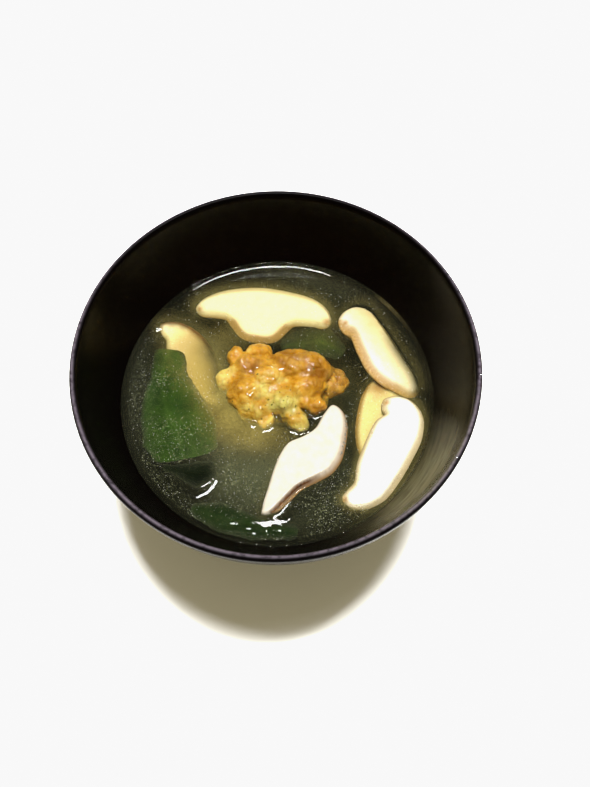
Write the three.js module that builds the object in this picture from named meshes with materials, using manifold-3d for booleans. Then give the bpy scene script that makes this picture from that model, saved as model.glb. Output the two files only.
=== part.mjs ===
// Bowl of dumpling soup: an open lacquer soup bowl holding a clear broth, one craggy fried dumpling,
// five slices of a brown-capped mushroom and three pieces of leaf.
// Millimetres, +Z up. The origin is the centre of the foot ring's underside.

import * as THREE from 'three';
import { mergeVertices } from 'three/addons/utils/BufferGeometryUtils.js';
import Module from 'manifold-3d';

// ---------------------------------------------------------------- driving dimensions

const RIM_RADIUS = 60;
const BOWL_HEIGHT = 64;
const LIP_WIDTH = 2.1;
const INNER_DEPTH = 52;
const FLOOR = BOWL_HEIGHT - INNER_DEPTH;
const FLOOR_ROUND = 0.6;
const FOOT_RADIUS = 27.5;
const FOOT_WIDTH = 3.6;
const FOOT_HEIGHT = 9.4;
const FOOT_WAIST = 0.7;
const FOOT_EDGE = 0.6;
const RECESS_HEIGHT = 6;
const RECESS_CHAMFER = 1.2;

const SOUP_DEPTH_BELOW_RIM = 25.2;
const LEVEL = BOWL_HEIGHT - SOUP_DEPTH_BELOW_RIM;
const MENISCUS_RISE = 0.8;
const MENISCUS_WIDTH = 2.6;

// Pieces keep GAP clear of the broth and the bowl. HEADROOM is how far a pocket reaches over a piece
// at the surface, and LEDGE how much wider the pocket is there.
const GAP = 0.35;
const UNDERSIDE_SHARE = 0.82;
const STEEP_DIVE = 5;
const LEAF_THICKNESS = 0.7;
const HEADROOM = 12;
const LEDGE = 0.2;
const WELD = 0.002;

// The walls are superellipse-like: radius = rim * (1 - (depth / reach) ^ swell) ^ taper.
const OUTER_WALL = { rim: RIM_RADIUS, reach: 61.7, swell: 1.5, taper: 0.46 };
const INNER_WALL = { rim: RIM_RADIUS - LIP_WIDTH, reach: INNER_DEPTH, swell: 1.5, taper: 0.43 };

const ROUND_SIDES = 48;
const WALL_STEPS = 9;
const SLICE_SIDES = 40;
const LEAF_LENGTH_CELLS = 11;
const LEAF_WIDTH_CELLS = 5;
// Lobes longer than this have finer facets.
const LONG_LOBE = 5;

// ---------------------------------------------------------------- the food's own sizes

// Lobes of the dumpling: centre from the dumpling's middle at the soup's level, half sizes, turn in degrees.
const DUMPLING_CENTRE = [0, 3];
const LOBES = [
  { name: 'sunk body', at: [1, 0, -6], half: [15.6, 10.4, 6.6], turn: -4 },
  { name: 'batter at the surface', at: [-1, -0.4, -1], half: [13.6, 8.4, 4.2], turn: -8 },
  { name: 'long browned lobe', at: [7.4, 6.2, 0.6], half: [10.6, 6, 4.8], turn: -10 },
  { name: 'right end under the soup', at: [16.8, 2.6, -2.8], half: [6, 5.2, 3.6], turn: -20 },
  { name: 'lower right lobe', at: [8.6, -0.6, 0.6], half: [7.2, 5, 4.2], turn: 8 },
  { name: 'middle', at: [-2.9, 2.8, 1.2], half: [5.6, 4.6, 4.2], turn: 15 },
  { name: 'left mass', at: [-9.6, -1.6, 0.2], half: [6.4, 5.6, 4.8], turn: 30 },
  { name: 'front left mass', at: [-7.4, -7, -1], half: [5.6, 4.6, 3.8], turn: -20 },
  { name: 'pale front', at: [1.6, -5.2, 0.4], half: [5, 4.4, 3.8], turn: 0 },
  { name: 'finger', at: [4.8, -10.2, -0.8], half: [6, 3.2, 3], turn: -46 },
  { name: 'browned disc', at: [-8.8, 7.2, 1.4], half: [4.2, 3.6, 3.4], turn: 0 },
  { name: 'upper left knob', at: [-12.8, 11, 0.6], half: [2.6, 3.6, 2.6], turn: -20 },
  { name: 'upper knob', at: [-5.6, 11.6, 1], half: [4.4, 3.2, 2.8], turn: 12 },
  { name: 'left knob', at: [-16.2, 3, 0.2], half: [2.9, 3.6, 2.6], turn: 10 },
  { name: 'right knob', at: [12.4, -7, 0.2], half: [3, 2.5, 2.2], turn: 20 },
  { name: 'small knob', at: [8.6, -5.8, 0.8], half: [2.8, 2.2, 2.2], turn: 0 },
  { name: 'front knob', at: [-3.8, -11, -1.2], half: [2.7, 2.5, 2.2], turn: 0 },
];
const CRAG_HEIGHT = 0.45;
const CRAG_LENGTH = 4.6;

// Mushroom slices. Each outline is in the slice's own plane: x along the cut from rim to rim, +y the
// domed skin side, -y the gills and stem. top is the height of the cut face over the soup's level,
// thick the slice's thickness. roll tips the skin side down, dive sinks the far rim, both in degrees.
// lean is how far the underside lies out towards the gills.
const SLICES = [
  {
    name: 'mushroom_slice_back', at: [-3.6, 29.7], heading: -8.9,
    thick: 4.6, top: 0.3, roll: 0, dive: 0, lean: 0,
    skin: [[-22, 0.3], [-20.6, 3], [-17.6, 5.2], [-12, 7.4], [-2, 9.2], [8, 8.6], [16, 6.9],
      [20.6, 3.8], [22, 0]],
    gills: [[20.7, -1.6], [17.6, -0.9], [10, -1.4], [7, -4.6], [4.2, -8], [-1, -8.9], [-5.6, -7.6],
      [-8.8, -4.2], [-11.4, -1.5], [-16.6, -1.2], [-20.6, -1.4]],
  },
  {
    name: 'mushroom_slice_right_back', at: [33.7, 12.7], heading: -49.6,
    thick: 5, top: -1.9, roll: 24, dive: 1, lean: 2,
    skin: [[-18.6, 0.4], [-20, 4], [-19, 8.4], [-15.4, 10.8], [-9.4, 10], [-1.8, 8.2], [5.4, 6.2], [12, 4],
      [15.8, 1]],
    gills: [[15.2, -1.4], [11, -3.1], [6.6, -4.6], [1.2, -4.6], [-6.4, -1.8], [-13, 1], [-16, -0.2]],
  },
  {
    name: 'mushroom_slice_right_front', at: [26.8, -19.2], heading: -114.6,
    thick: 3.8, top: 0.4, roll: 0, dive: 0, lean: 0,
    skin: [[-18.2, -0.6], [-20.6, 2.4], [-20.8, 6.6], [-17.6, 11], [-11, 13], [-3, 12.5], [6, 11.2],
      [13, 9.2], [17.4, 5.2], [18.6, 1.4]],
    gills: [[17.4, -1.2], [15, -0.6], [11.4, 0.6], [5, -0.7], [-3, -0.9], [-10.6, -0.3],
      [-14.2, 1.6], [-16, -0.4]],
  },
  {
    name: 'mushroom_slice_front', at: [5.9, -21.4], heading: -123.2,
    thick: 5, top: 1.2, roll: -2, dive: 0, lean: 0,
    skin: [[-20.8, -0.2], [-20.6, 2.8], [-17.6, 6], [-12.4, 8.4], [-6, 10.2], [-1.4, 9.8], [3, 7.4],
      [8, 4.4], [14, 3], [19, 1.6]],
    gills: [[20.9, -0.4], [18.4, -1.7], [12.6, -3.3], [6.6, -4.9], [0.8, -5.8], [-3.2, -5.4], [-7, -2.8],
      [-11.4, -0.8], [-17.4, -1]],
  },
  {
    name: 'mushroom_slice_left', at: [-27.4, 12.9], heading: -54.7,
    thick: 4.2, top: -4.1, roll: 6, dive: 15, lean: 0,
    skin: [[-17.2, 0.6], [-15.4, 4.8], [-11.6, 7.4], [-6, 9], [1, 8.8], [8, 6.6], [13.6, 3.2]],
    gills: [[15.4, -0.4], [12.6, -2.4], [4, -4.2], [-3, -4.2], [-8, -2.8], [-12, -0.5], [-14.6, -0.6]],
  },
];

// Leaves: a spine in the soup's plane, the reach to its left and right at even stations, the depth of
// its middle below the level (drop), and the height, length and phase of its waves.
const LEAVES = [
  {
    name: 'leaf_left', drop: 0.8, rise: 1.1, wave: 17, phase: 0.6,
    spine: [[-34, 18], [-36.2, 8], [-34.4, -3], [-30.9, -11.4], [-29.2, -19.7]],
    left: [5.4, 9, 12, 12.4, 10.4],
    right: [4.6, 3.8, 8.8, 11.8, 8.6],
  },
  {
    name: 'leaf_left_fold', drop: -0.1, rise: 1.2, wave: 11, phase: 2.4,
    spine: [[-35.4, -22.4], [-30.6, -23.4], [-25, -24.4], [-19.6, -23.6]],
    left: [0.8, 1.8, 3.7, 3],
    right: [0.8, 2, 5, 2.6],
  },
  {
    name: 'leaf_front', drop: 0.5, rise: 0.9, wave: 9, phase: 1.2,
    spine: [[-27, -35.8], [-18, -38.8], [-8, -41.4], [4.6, -44.2]],
    left: [1.8, 5, 2.6, 1.8],
    right: [1.8, 4.6, 5, 2.4],
  },
];

// ---------------------------------------------------------------- materials

function finish(color, roughness) {
  return new THREE.MeshStandardMaterial({ color, roughness, metalness: 0 });
}

const lacquer = finish(0x1c1619, 0.22);
const clearBroth = finish(0x5e6250, 0.12);
const friedBatter = finish(0xd9a45a, 0.4);
const mushroomFlesh = finish(0xf3ecd0, 0.45);
const cookedLeaf = finish(0x2d5a20, 0.35);

// ---------------------------------------------------------------- joining and cutting

const wasm = await Module();
wasm.setup();

function toSolid(geometry, weld = 1e-4) {
  const bare = geometry.clone();
  bare.deleteAttribute('normal');
  bare.deleteAttribute('uv');
  const merged = mergeVertices(bare, weld);
  const corners = merged.index.array;
  const kept = [];
  for (let i = 0; i < corners.length; i += 3) {
    const [a, b, c] = [corners[i], corners[i + 1], corners[i + 2]];
    if (a !== b && b !== c && c !== a) kept.push(a, b, c);
  }
  const mesh = new wasm.Mesh({
    numProp: 3,
    vertProperties: new Float32Array(merged.attributes.position.array),
    triVerts: new Uint32Array(kept),
  });
  return new wasm.Manifold(mesh);
}

function toGeometry(solid) {
  const mesh = solid.getMesh();
  const geometry = new THREE.BufferGeometry();
  geometry.setAttribute('position', new THREE.BufferAttribute(new Float32Array(mesh.vertProperties), 3));
  geometry.setIndex(new THREE.BufferAttribute(new Uint32Array(mesh.triVerts), 1));
  return geometry;
}

// Joining and cutting leave specks of edges; points closer than WELD become one.
function welded(solid) {
  return toGeometry(toSolid(toGeometry(solid), WELD)).toNonIndexed();
}

// Cutting can leave loose scraps of broth between two pieces; only the main body is kept.
function largestBody(solid) {
  return solid.decompose().reduce((best, body) => (body.volume() > best.volume() ? body : best));
}

function named(name, geometry, material) {
  const mesh = new THREE.Mesh(geometry, material);
  mesh.name = name;
  return mesh;
}

// ---------------------------------------------------------------- bowl and broth

function wallRadius(wall, depth) {
  return wall.rim * (1 - (depth / wall.reach) ** wall.swell) ** wall.taper;
}

function turned(profile) {
  const points = profile.map(([radius, height]) => new THREE.Vector2(radius, height));
  return new THREE.LatheGeometry(points, ROUND_SIDES).rotateX(Math.PI / 2);
}

// Heights bunch towards the floor, where the wall turns fastest.
function wallProfile(wall, fromDepth, toDepth, steps, inset = 0) {
  const profile = [];
  for (let i = 0; i <= steps; i += 1) {
    const share = Math.sin((i / steps) * (Math.PI / 2));
    const depth = fromDepth + (toDepth - fromDepth) * share;
    profile.push([wallRadius(wall, depth) - inset, BOWL_HEIGHT - depth]);
  }
  return profile;
}

function bowlGeometry() {
  const lipRound = LIP_WIDTH / 2;
  const footInside = FOOT_RADIUS - FOOT_WIDTH;
  const foot = [
    [0, RECESS_HEIGHT],
    [footInside - RECESS_CHAMFER, RECESS_HEIGHT],
    [footInside, RECESS_HEIGHT - RECESS_CHAMFER],
    [footInside, 0],
    [FOOT_RADIUS - FOOT_EDGE, 0],
    [FOOT_RADIUS, FOOT_EDGE],
    [FOOT_RADIUS - FOOT_WAIST, FOOT_HEIGHT - 2 * FOOT_WAIST],
  ];
  const outside = wallProfile(OUTER_WALL, lipRound, BOWL_HEIGHT - FOOT_HEIGHT, WALL_STEPS).reverse();
  const lip = [0.28, 0.5, 0.72].map((turn) => [
    RIM_RADIUS - lipRound + lipRound * Math.cos(turn * Math.PI),
    BOWL_HEIGHT - lipRound + lipRound * Math.sin(turn * Math.PI),
  ]);
  const inside = wallProfile(INNER_WALL, lipRound, INNER_DEPTH - FLOOR_ROUND, WALL_STEPS);
  return turned([...foot, ...outside, ...lip, ...inside, [0, FLOOR]]);
}

function brothGeometry() {
  const top = SOUP_DEPTH_BELOW_RIM - MENISCUS_RISE;
  const wall = wallProfile(INNER_WALL, top, INNER_DEPTH - FLOOR_ROUND, WALL_STEPS - 2, GAP);
  const edge = wall[0][0];
  return turned([
    [0, FLOOR + GAP],
    ...wall.slice(1).reverse().map(([radius, height]) => [radius, height + GAP]),
    [edge, LEVEL + MENISCUS_RISE],
    [edge - MENISCUS_WIDTH / 3, LEVEL + MENISCUS_RISE / 3],
    [edge - MENISCUS_WIDTH, LEVEL],
    [0, LEVEL],
  ]);
}

// ---------------------------------------------------------------- dumpling

// Low crags: three crossed waves, the same everywhere on the batter.
function crag(x, y, z) {
  const k = (2 * Math.PI) / CRAG_LENGTH;
  const waves = [
    Math.sin(k * (x + 0.6 * y)),
    Math.sin(k * (y - 0.7 * z) + 1.3),
    Math.sin(k * (z + 0.8 * x) + 2.1),
  ];
  return (CRAG_HEIGHT * (waves[0] + waves[1] + waves[2])) / waves.length;
}

function lobeSolid({ at, half, turn }, grow) {
  const lobe = new THREE.IcosahedronGeometry(1, half[0] > LONG_LOBE ? 3 : 2);
  lobe.scale(half[0], half[1], half[2]);
  lobe.rotateZ(THREE.MathUtils.degToRad(turn));
  lobe.translate(at[0], at[1], at[2]);
  const centre = new THREE.Vector3(...at);
  const point = new THREE.Vector3();
  const positions = lobe.attributes.position;
  for (let i = 0; i < positions.count; i += 1) {
    point.fromBufferAttribute(positions, i);
    const outward = point.clone().sub(centre).normalize();
    point.addScaledVector(outward, crag(point.x, point.y, point.z) + grow);
    positions.setXYZ(i, point.x, point.y, point.z);
  }
  return toSolid(lobe);
}

function dumplingSolid(grow = 0) {
  return LOBES.map((lobe) => lobeSolid(lobe, grow)).reduce((joined, lobe) => joined.add(lobe));
}

// ---------------------------------------------------------------- mushroom slices

function sliceOutline({ skin, gills }, grow) {
  const corners = [...skin, ...gills].map(([x, y]) => new THREE.Vector3(x, y, 0));
  const curve = new THREE.CatmullRomCurve3(corners, true, 'centripetal');
  const ring = curve.getSpacedPoints(SLICE_SIDES).slice(0, SLICE_SIDES);
  return ring.map((point, i) => {
    const before = ring[(i + SLICE_SIDES - 1) % SLICE_SIDES];
    const after = ring[(i + 1) % SLICE_SIDES];
    const along = new THREE.Vector2(after.x - before.x, after.y - before.y).normalize();
    return new THREE.Vector2(point.x - along.y * grow, point.y + along.x * grow);
  });
}

function slab(slice, grow, from, to) {
  const shape = new THREE.Shape(sliceOutline(slice, grow));
  const geometry = new THREE.ExtrudeGeometry(shape, { depth: to - from, bevelEnabled: false, steps: 1 });
  return geometry.translate(0, 0, from);
}

// The cut face is at z = 0 and the slice hangs below it, narrower at its underside, where the cap
// rounds away.
function sliceGeometry(slice, grow = 0) {
  const geometry = slab(slice, grow, -slice.thick - grow, grow);
  const middle = slice.skin[Math.floor(slice.skin.length / 2)][1] / 2;
  const positions = geometry.attributes.position;
  for (let i = 0; i < positions.count; i += 1) {
    if (positions.getZ(i) > -slice.thick / 2) continue;
    const y = middle + (positions.getY(i) - middle) * UNDERSIDE_SHARE - slice.lean;
    positions.setXY(i, positions.getX(i) * UNDERSIDE_SHARE, y);
  }
  return geometry;
}

function sliceMesh(slice) {
  const mesh = named(slice.name, sliceGeometry(slice), mushroomFlesh);
  mesh.position.set(slice.at[0], slice.at[1], LEVEL + slice.top);
  const [roll, dive, heading] = [-slice.roll, slice.dive, slice.heading].map(THREE.MathUtils.degToRad);
  mesh.rotation.set(roll, dive, heading, 'ZYX');
  mesh.updateMatrix();
  return mesh;
}

// A slice that lies at the surface has an open pocket in the broth; one that dives is covered by it.
function slicePocket(slice, matrix) {
  const pocket = toSolid(sliceGeometry(slice, GAP).applyMatrix4(matrix));
  if (slice.dive > STEEP_DIVE) return pocket;
  return pocket.add(toSolid(slab(slice, GAP + LEDGE, -LEDGE, HEADROOM).applyMatrix4(matrix)));
}

// ---------------------------------------------------------------- leaves

function between(values, share) {
  const place = share * (values.length - 1);
  const index = Math.min(Math.floor(place), values.length - 2);
  return THREE.MathUtils.lerp(values[index], values[index + 1], place - index);
}

function leafHeight(leaf, x, y) {
  const k = (2 * Math.PI) / leaf.wave;
  const ripple = Math.sin(k * x + leaf.phase) * 0.6 + Math.sin(k * (0.7 * y + 0.3 * x) - leaf.phase) * 0.4;
  return -leaf.drop + ripple * leaf.rise;
}

// A grid of points over the leaf, repeated above and below, with a wall round the edge.
function leafGeometry(leaf, grow = 0, headroom = 0) {
  const spine = new THREE.CatmullRomCurve3(leaf.spine.map(([x, y]) => new THREE.Vector3(x, y, 0)));
  const columns = LEAF_WIDTH_CELLS + 1;
  const rows = LEAF_LENGTH_CELLS + 1;
  const half = LEAF_THICKNESS / 2 + grow;
  const layers = [[], []];
  for (let row = 0; row < rows; row += 1) {
    const share = row / LEAF_LENGTH_CELLS;
    const along = spine.getTangent(share);
    const overrun = row === 0 ? -grow : row === rows - 1 ? grow : 0;
    const middle = spine.getPoint(share).addScaledVector(along, overrun);
    const left = between(leaf.left, share) + grow;
    const right = between(leaf.right, share) + grow;
    for (let column = 0; column < columns; column += 1) {
      const reach = THREE.MathUtils.lerp(left, -right, column / LEAF_WIDTH_CELLS);
      const x = middle.x - along.y * reach;
      const y = middle.y + along.x * reach;
      const height = leafHeight(leaf, x, y);
      layers[0].push(x, y, height + half + headroom);
      layers[1].push(x, y, height - half);
    }
  }
  const faces = [];
  const under = rows * columns;
  for (let row = 0; row < LEAF_LENGTH_CELLS; row += 1) {
    for (let column = 0; column < LEAF_WIDTH_CELLS; column += 1) {
      const a = row * columns + column;
      const [b, c, d] = [a + 1, a + columns + 1, a + columns];
      faces.push(a, b, c, a, c, d);
      faces.push(under + a, under + c, under + b, under + a, under + d, under + c);
    }
  }
  const lastRow = LEAF_LENGTH_CELLS * columns;
  const edge = [];
  for (let column = 0; column < LEAF_WIDTH_CELLS; column += 1) edge.push(column);
  for (let row = 0; row < LEAF_LENGTH_CELLS; row += 1) edge.push(row * columns + LEAF_WIDTH_CELLS);
  for (let column = LEAF_WIDTH_CELLS; column > 0; column -= 1) edge.push(lastRow + column);
  for (let row = LEAF_LENGTH_CELLS; row > 0; row -= 1) edge.push(row * columns);
  edge.forEach((from, i) => {
    const to = edge[(i + 1) % edge.length];
    faces.push(from, under + to, to, from, under + from, under + to);
  });
  const geometry = new THREE.BufferGeometry();
  geometry.setAttribute('position', new THREE.Float32BufferAttribute(layers.flat(), 3));
  geometry.setIndex(faces);
  geometry.computeVertexNormals();
  return geometry.translate(0, 0, LEVEL);
}

// ---------------------------------------------------------------- assembly

const dumplingPlace = new THREE.Matrix4().makeTranslation(DUMPLING_CENTRE[0], DUMPLING_CENTRE[1], LEVEL);
const dumpling = named('dumpling', welded(dumplingSolid()), friedBatter);
dumpling.position.setFromMatrixPosition(dumplingPlace);
const dumplingPocket = toSolid(toGeometry(dumplingSolid(GAP)).applyMatrix4(dumplingPlace));

const slices = SLICES.map(sliceMesh);
const slicePockets = SLICES.map((slice, i) => slicePocket(slice, slices[i].matrix));

const leaves = LEAVES.map((leaf) => named(leaf.name, leafGeometry(leaf), cookedLeaf));
const leafPockets = LEAVES.map((leaf) => toSolid(leafGeometry(leaf, GAP, HEADROOM)));

const pockets = [dumplingPocket, ...slicePockets, ...leafPockets];
const cutBroth = pockets.reduce((broth, pocket) => broth.subtract(pocket), toSolid(brothGeometry()));
const brothBody = largestBody(cutBroth);

const soup = new THREE.Group();
soup.add(named('bowl', bowlGeometry(), lacquer));
soup.add(named('broth', welded(brothBody), clearBroth));
soup.add(dumpling, ...slices, ...leaves);

export default soup;
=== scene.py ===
"""Bowl of dumpling soup: a turned lacquer bowl, clear broth, a fried dumpling, mushroom slices and leaves.

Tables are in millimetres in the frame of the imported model: +Z up, origin under the foot ring.
"""

import math

import bmesh
import bpy
import numpy as np
from mathutils import Matrix, Vector, geometry, noise


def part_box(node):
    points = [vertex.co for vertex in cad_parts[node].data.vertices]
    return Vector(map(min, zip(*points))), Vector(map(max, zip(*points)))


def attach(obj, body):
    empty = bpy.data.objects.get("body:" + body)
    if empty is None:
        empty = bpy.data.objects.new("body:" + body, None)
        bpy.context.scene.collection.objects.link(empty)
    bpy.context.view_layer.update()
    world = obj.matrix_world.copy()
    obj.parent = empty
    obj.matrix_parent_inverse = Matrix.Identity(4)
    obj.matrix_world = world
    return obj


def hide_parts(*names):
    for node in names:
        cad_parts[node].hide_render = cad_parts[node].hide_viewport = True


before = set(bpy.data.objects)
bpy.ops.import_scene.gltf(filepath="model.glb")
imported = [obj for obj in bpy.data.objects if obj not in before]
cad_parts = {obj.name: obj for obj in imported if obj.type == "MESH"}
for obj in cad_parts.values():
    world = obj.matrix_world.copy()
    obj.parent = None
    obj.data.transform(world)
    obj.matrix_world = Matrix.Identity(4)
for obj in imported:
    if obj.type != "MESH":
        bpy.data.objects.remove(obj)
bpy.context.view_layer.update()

bl_info = {
    "name": "Bowl of Dumpling Soup",
    "version": (1, 0, 0),
    "blender": (4, 5, 0),
    "location": "View3D > Sidebar > Soup",
    "description": "Builds a lacquer soup bowl with broth, a fried dumpling, mushroom slices and leaves",
    "category": "Object",
}

# ---------------------------------------------------------------- driving dimensions (mm)

MM = 0.001
RIM_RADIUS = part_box("bowl")[1].x / MM
BOWL_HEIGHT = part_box("bowl")[1].z / MM
SOUP_DEPTH_BELOW_RIM = 25.2
LEVEL = BOWL_HEIGHT - SOUP_DEPTH_BELOW_RIM
LIP_WIDTH = 2.1
INNER_DEPTH = 52
FLOOR_ROUND = 0.6
FOOT_RADIUS = 27.5
FOOT_WIDTH = 3.6
FOOT_HEIGHT = 9.4
FOOT_WAIST = 0.7
FOOT_EDGE = 0.6
RECESS_HEIGHT = 6
RECESS_CHAMFER = 1.2
OUTER_WALL = {"rim": RIM_RADIUS, "reach": 61.7, "swell": 1.5, "taper": 0.46}
INNER_WALL = {"rim": RIM_RADIUS - LIP_WIDTH, "reach": INNER_DEPTH, "swell": 1.5, "taper": 0.43}
UNDERSIDE_SHARE = 0.82
LEAF_THICKNESS = 0.7

# Steps down the outer and the inner wall and over the lip.
OUTSIDE_STEPS = 60
INSIDE_STEPS = 70
LIP_STEPS = 12

# Lobes of the dumpling: centre from the dumpling's middle at the soup's level, half sizes, turn in
# degrees, then how browned each is and how much green herb it holds.
DUMPLING_CENTRE = (0, 3)
LOBES = [
    ((1, 0, -6), (15.6, 10.4, 6.6), -4, 0.2, 0),
    ((-1, -0.4, -1), (13.6, 8.4, 4.2), -8, 0.25, 0.1),
    ((7.4, 6.2, 0.6), (10.6, 6, 4.8), -10, 0.85, 0.1),
    ((16.8, 2.6, -4.3), (6, 5.2, 3.6), -20, 0.95, 0.3),
    ((8.6, -0.6, 0.6), (7.2, 5, 4.2), 8, 0.5, 0),
    ((-2.9, 2.8, 1.2), (5.6, 4.6, 4.2), 15, 0.5, 0.1),
    ((-9.6, -1.6, 0.2), (6.4, 5.6, 4.8), 30, 0.5, 0.2),
    ((-7.4, -7, -1), (5.6, 4.6, 3.8), -20, 0.45, 0.9),
    ((1.6, -5.2, 0.4), (5, 4.4, 3.8), 0, 0.05, 1),
    ((4.8, -10.2, -0.8), (6, 3.2, 3), -46, 0.35, 0.8),
    ((-8.8, 7.2, 1.4), (4.2, 3.6, 3.4), 0, 0.9, 0),
    ((-12.8, 11, 0.6), (2.6, 3.6, 2.6), -20, 0.55, 0),
    ((-5.6, 11.6, 1), (4.4, 3.2, 2.8), 12, 0.35, 0),
    ((-16.2, 3, 0.2), (2.9, 3.6, 2.6), 10, 0.35, 0),
    ((12.4, -7, 0.2), (3, 2.5, 2.2), 20, 0.7, 0),
    ((8.6, -5.8, 0.8), (2.8, 2.2, 2.2), 0, 0.8, 0.1),
    ((-3.8, -11, -1.2), (2.7, 2.5, 2.2), 0, 0.4, 0.6),
    ((-12.2, 5.2, 0), (3.8, 3.8, 3.2), 0, 0.4, 0),
    ((-5.4, 7.8, 0.6), (3.6, 3, 3), 0, 0.5, 0),
    ((4, 5.4, 1.6), (4, 3.4, 3.2), 0, 0.6, 0),
]
CRAG_HEIGHT = 0.45
CRAG_LENGTH = 4.6

# Mushroom slices: outlines in the slice's plane (x from rim to rim, +y the skin, -y gills and stem),
# top is the cut face over the level, roll and dive tip it in degrees, lean is how far the underside
# lies out towards the gills, and gill_band how wide the stained edge along the gills is. flare is how
# far the skin's and the gills' side swells past the outline, tan how brown those sides are and below
# which y, fade over which share of the thickness they are lost in the broth, dark how dark the skin
# is, skin_band how wide it shows on the cut face and from which x, cream and stain how yellow and how
# brown the flesh is (stain from which x), soft how far in from the skin the face is lost in the broth
# and from which x, glow how much light the broth round it scatters and how far out, and curls are the
# stained places where the cap's rim rolls in: x, y and size. PLAIN_SLICE holds what most have alike.
PLAIN_SLICE = {
    "roll": 0, "dive": 0, "lean": 0, "flare": (1.0, 1.0), "skin_band": (0, 0), "cream": 0,
    "stain": (0, 0), "soft": (0, 0), "curls": [],
}
SLICES = {
    "slice_back": {
        "node": "mushroom_slice_back", "at": (-3.6, 29.7), "heading": -8.9, "thick": 4.6, "top": -1.4,
        "gill_band": 1.2, "flare": (1.6, 1.9), "tan": (0.3, 1, -2.4), "fade": (1.0, 0.8), "dark": 0.5,
        "skin_band": (0.5, 17), "cream": 0.6, "glow": (0.12, 2.4),
        "curls": [(-20.9, -0.2, 1.3), (20.8, -0.4, 1.5)],
        "skin": [(-22, 0.3), (-20.6, 3), (-17.6, 5.2), (-12, 7.4), (-2, 9.2), (8, 8.6), (16, 6.9),
                 (20.6, 3.8), (22, 0)],
        "gills": [(20.7, -1.6), (17.6, -0.9), (10, -1.4), (7, -4.6), (4.2, -8), (-1, -8.9),
                  (-5.6, -7.6), (-8.8, -4.2), (-11.4, -1.5), (-16.6, -1.2), (-20.6, -1.4)],
    },
    "slice_right_back": {
        "node": "mushroom_slice_right_back", "at": (33.7, 12.7), "heading": -49.6, "thick": 5,
        "top": -1.5, "roll": 20, "dive": 4, "lean": 2, "gill_band": 0.3, "flare": (1.4, 2.2),
        "tan": (0.3, 0.85, 99), "fade": (0.6, 1.8), "dark": 0.3, "soft": (2.4, -8),
        "glow": (0.05, 2.0), "curls": [(-16.6, 0.2, 1.2)],
        "skin": [(-18.6, 0.4), (-20, 4), (-19, 8.4), (-15.4, 10.8), (-9.4, 10), (-1.8, 8.2),
                 (5.4, 6.2), (12, 4), (15.8, 1)],
        "gills": [(15.2, -1.4), (11, -3.1), (6.6, -4.6), (1.2, -4.6), (-6.4, -1.8), (-13, 1),
                  (-16, -0.2)],
    },
    "slice_right_front": {
        "node": "mushroom_slice_right_front", "at": (26.8, -19.2), "heading": -114.6, "thick": 3.8,
        "top": -0.35, "gill_band": 0.1, "flare": (1.7, 1.0), "tan": (0.5, 0.4, 99), "fade": (0.7, 0.4),
        "dark": 0.3, "glow": (0.14, 1.8), "curls": [(-17.2, 0, 1.5), (17.4, -0.6, 1.4)],
        "skin": [(-18.2, -0.6), (-20.6, 2.4), (-20.8, 6.6), (-17.6, 11), (-11, 13), (-3, 12.5),
                 (6, 11.2), (13, 9.2), (17.4, 5.2), (18.6, 1.4)],
        "gills": [(17.4, -1.2), (15, -0.6), (11.4, 0.6), (5, -0.7), (-3, -0.9), (-10.6, -0.3),
                  (-14.2, 1.6), (-16, -0.4)],
    },
    "slice_front": {
        "node": "mushroom_slice_front", "at": (5.9, -21.4), "heading": -123.2, "thick": 5, "top": 1.2,
        "roll": -2, "gill_band": 0.15, "flare": (1.4, 0.4), "tan": (1, 0.3, 99), "fade": (9, 0.5),
        "dark": 1.0, "skin_band": (0.6, 1), "glow": (0.03, 1.8),
        "skin": [(-20.8, -0.2), (-20.6, 2.8), (-17.6, 6), (-12.4, 8.4), (-6, 10.2), (-1.4, 9.8),
                 (3, 7.4), (8, 4.4), (14, 3), (19, 1.6)],
        "gills": [(20.9, -0.4), (18.4, -1.7), (12.6, -3.3), (6.6, -4.9), (0.8, -5.8), (-3.2, -5.4),
                  (-7, -2.8), (-11.4, -0.8), (-17.4, -1)],
    },
    "slice_left": {
        "node": "mushroom_slice_left", "at": (-27.4, 12.9), "heading": -54.7, "thick": 4.2,
        "top": -4.1, "roll": 6, "dive": 15, "gill_band": 0.4, "tan": (0.5, 0.3, 99),
        "fade": (0.5, 0.3), "dark": 0.95, "skin_band": (1.5, -99), "cream": 1, "stain": (0.5, -14),
        "soft": (5, -8), "glow": (0.08, 2.8),
        "skin": [(-17.2, 0.6), (-15.4, 4.8), (-11.6, 7.4), (-6, 9), (1, 8.8), (8, 6.6), (13.6, 3.2)],
        "gills": [(15.4, -0.4), (12.6, -2.4), (4, -4.2), (-3, -4.2), (-8, -2.8), (-12, -0.5),
                  (-14.6, -0.6)],
    },
    "slice_sunk": {
        "node": None, "at": (30.8, -8.8), "heading": -106, "thick": 3.2, "top": -3.2,
        "gill_band": 0.4, "tan": (0.6, 1, 99), "fade": (0.3, 0.5), "dark": 0.5, "cream": 0.7,
        "soft": (1.6, -99), "glow": (0.06, 1.8), "curls": [(-12.0, -2.0, 3.2)],
        "skin": [(-14, -3.4), (-13.4, 3), (-9, 6), (0, 7), (9, 5), (14, 1)],
        "gills": [(12, -2.4), (6, -5), (-2, -6), (-9, -5.6)],
    },
}
SLICES = {name: {**PLAIN_SLICE, **own} for name, own in SLICES.items()}

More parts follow.
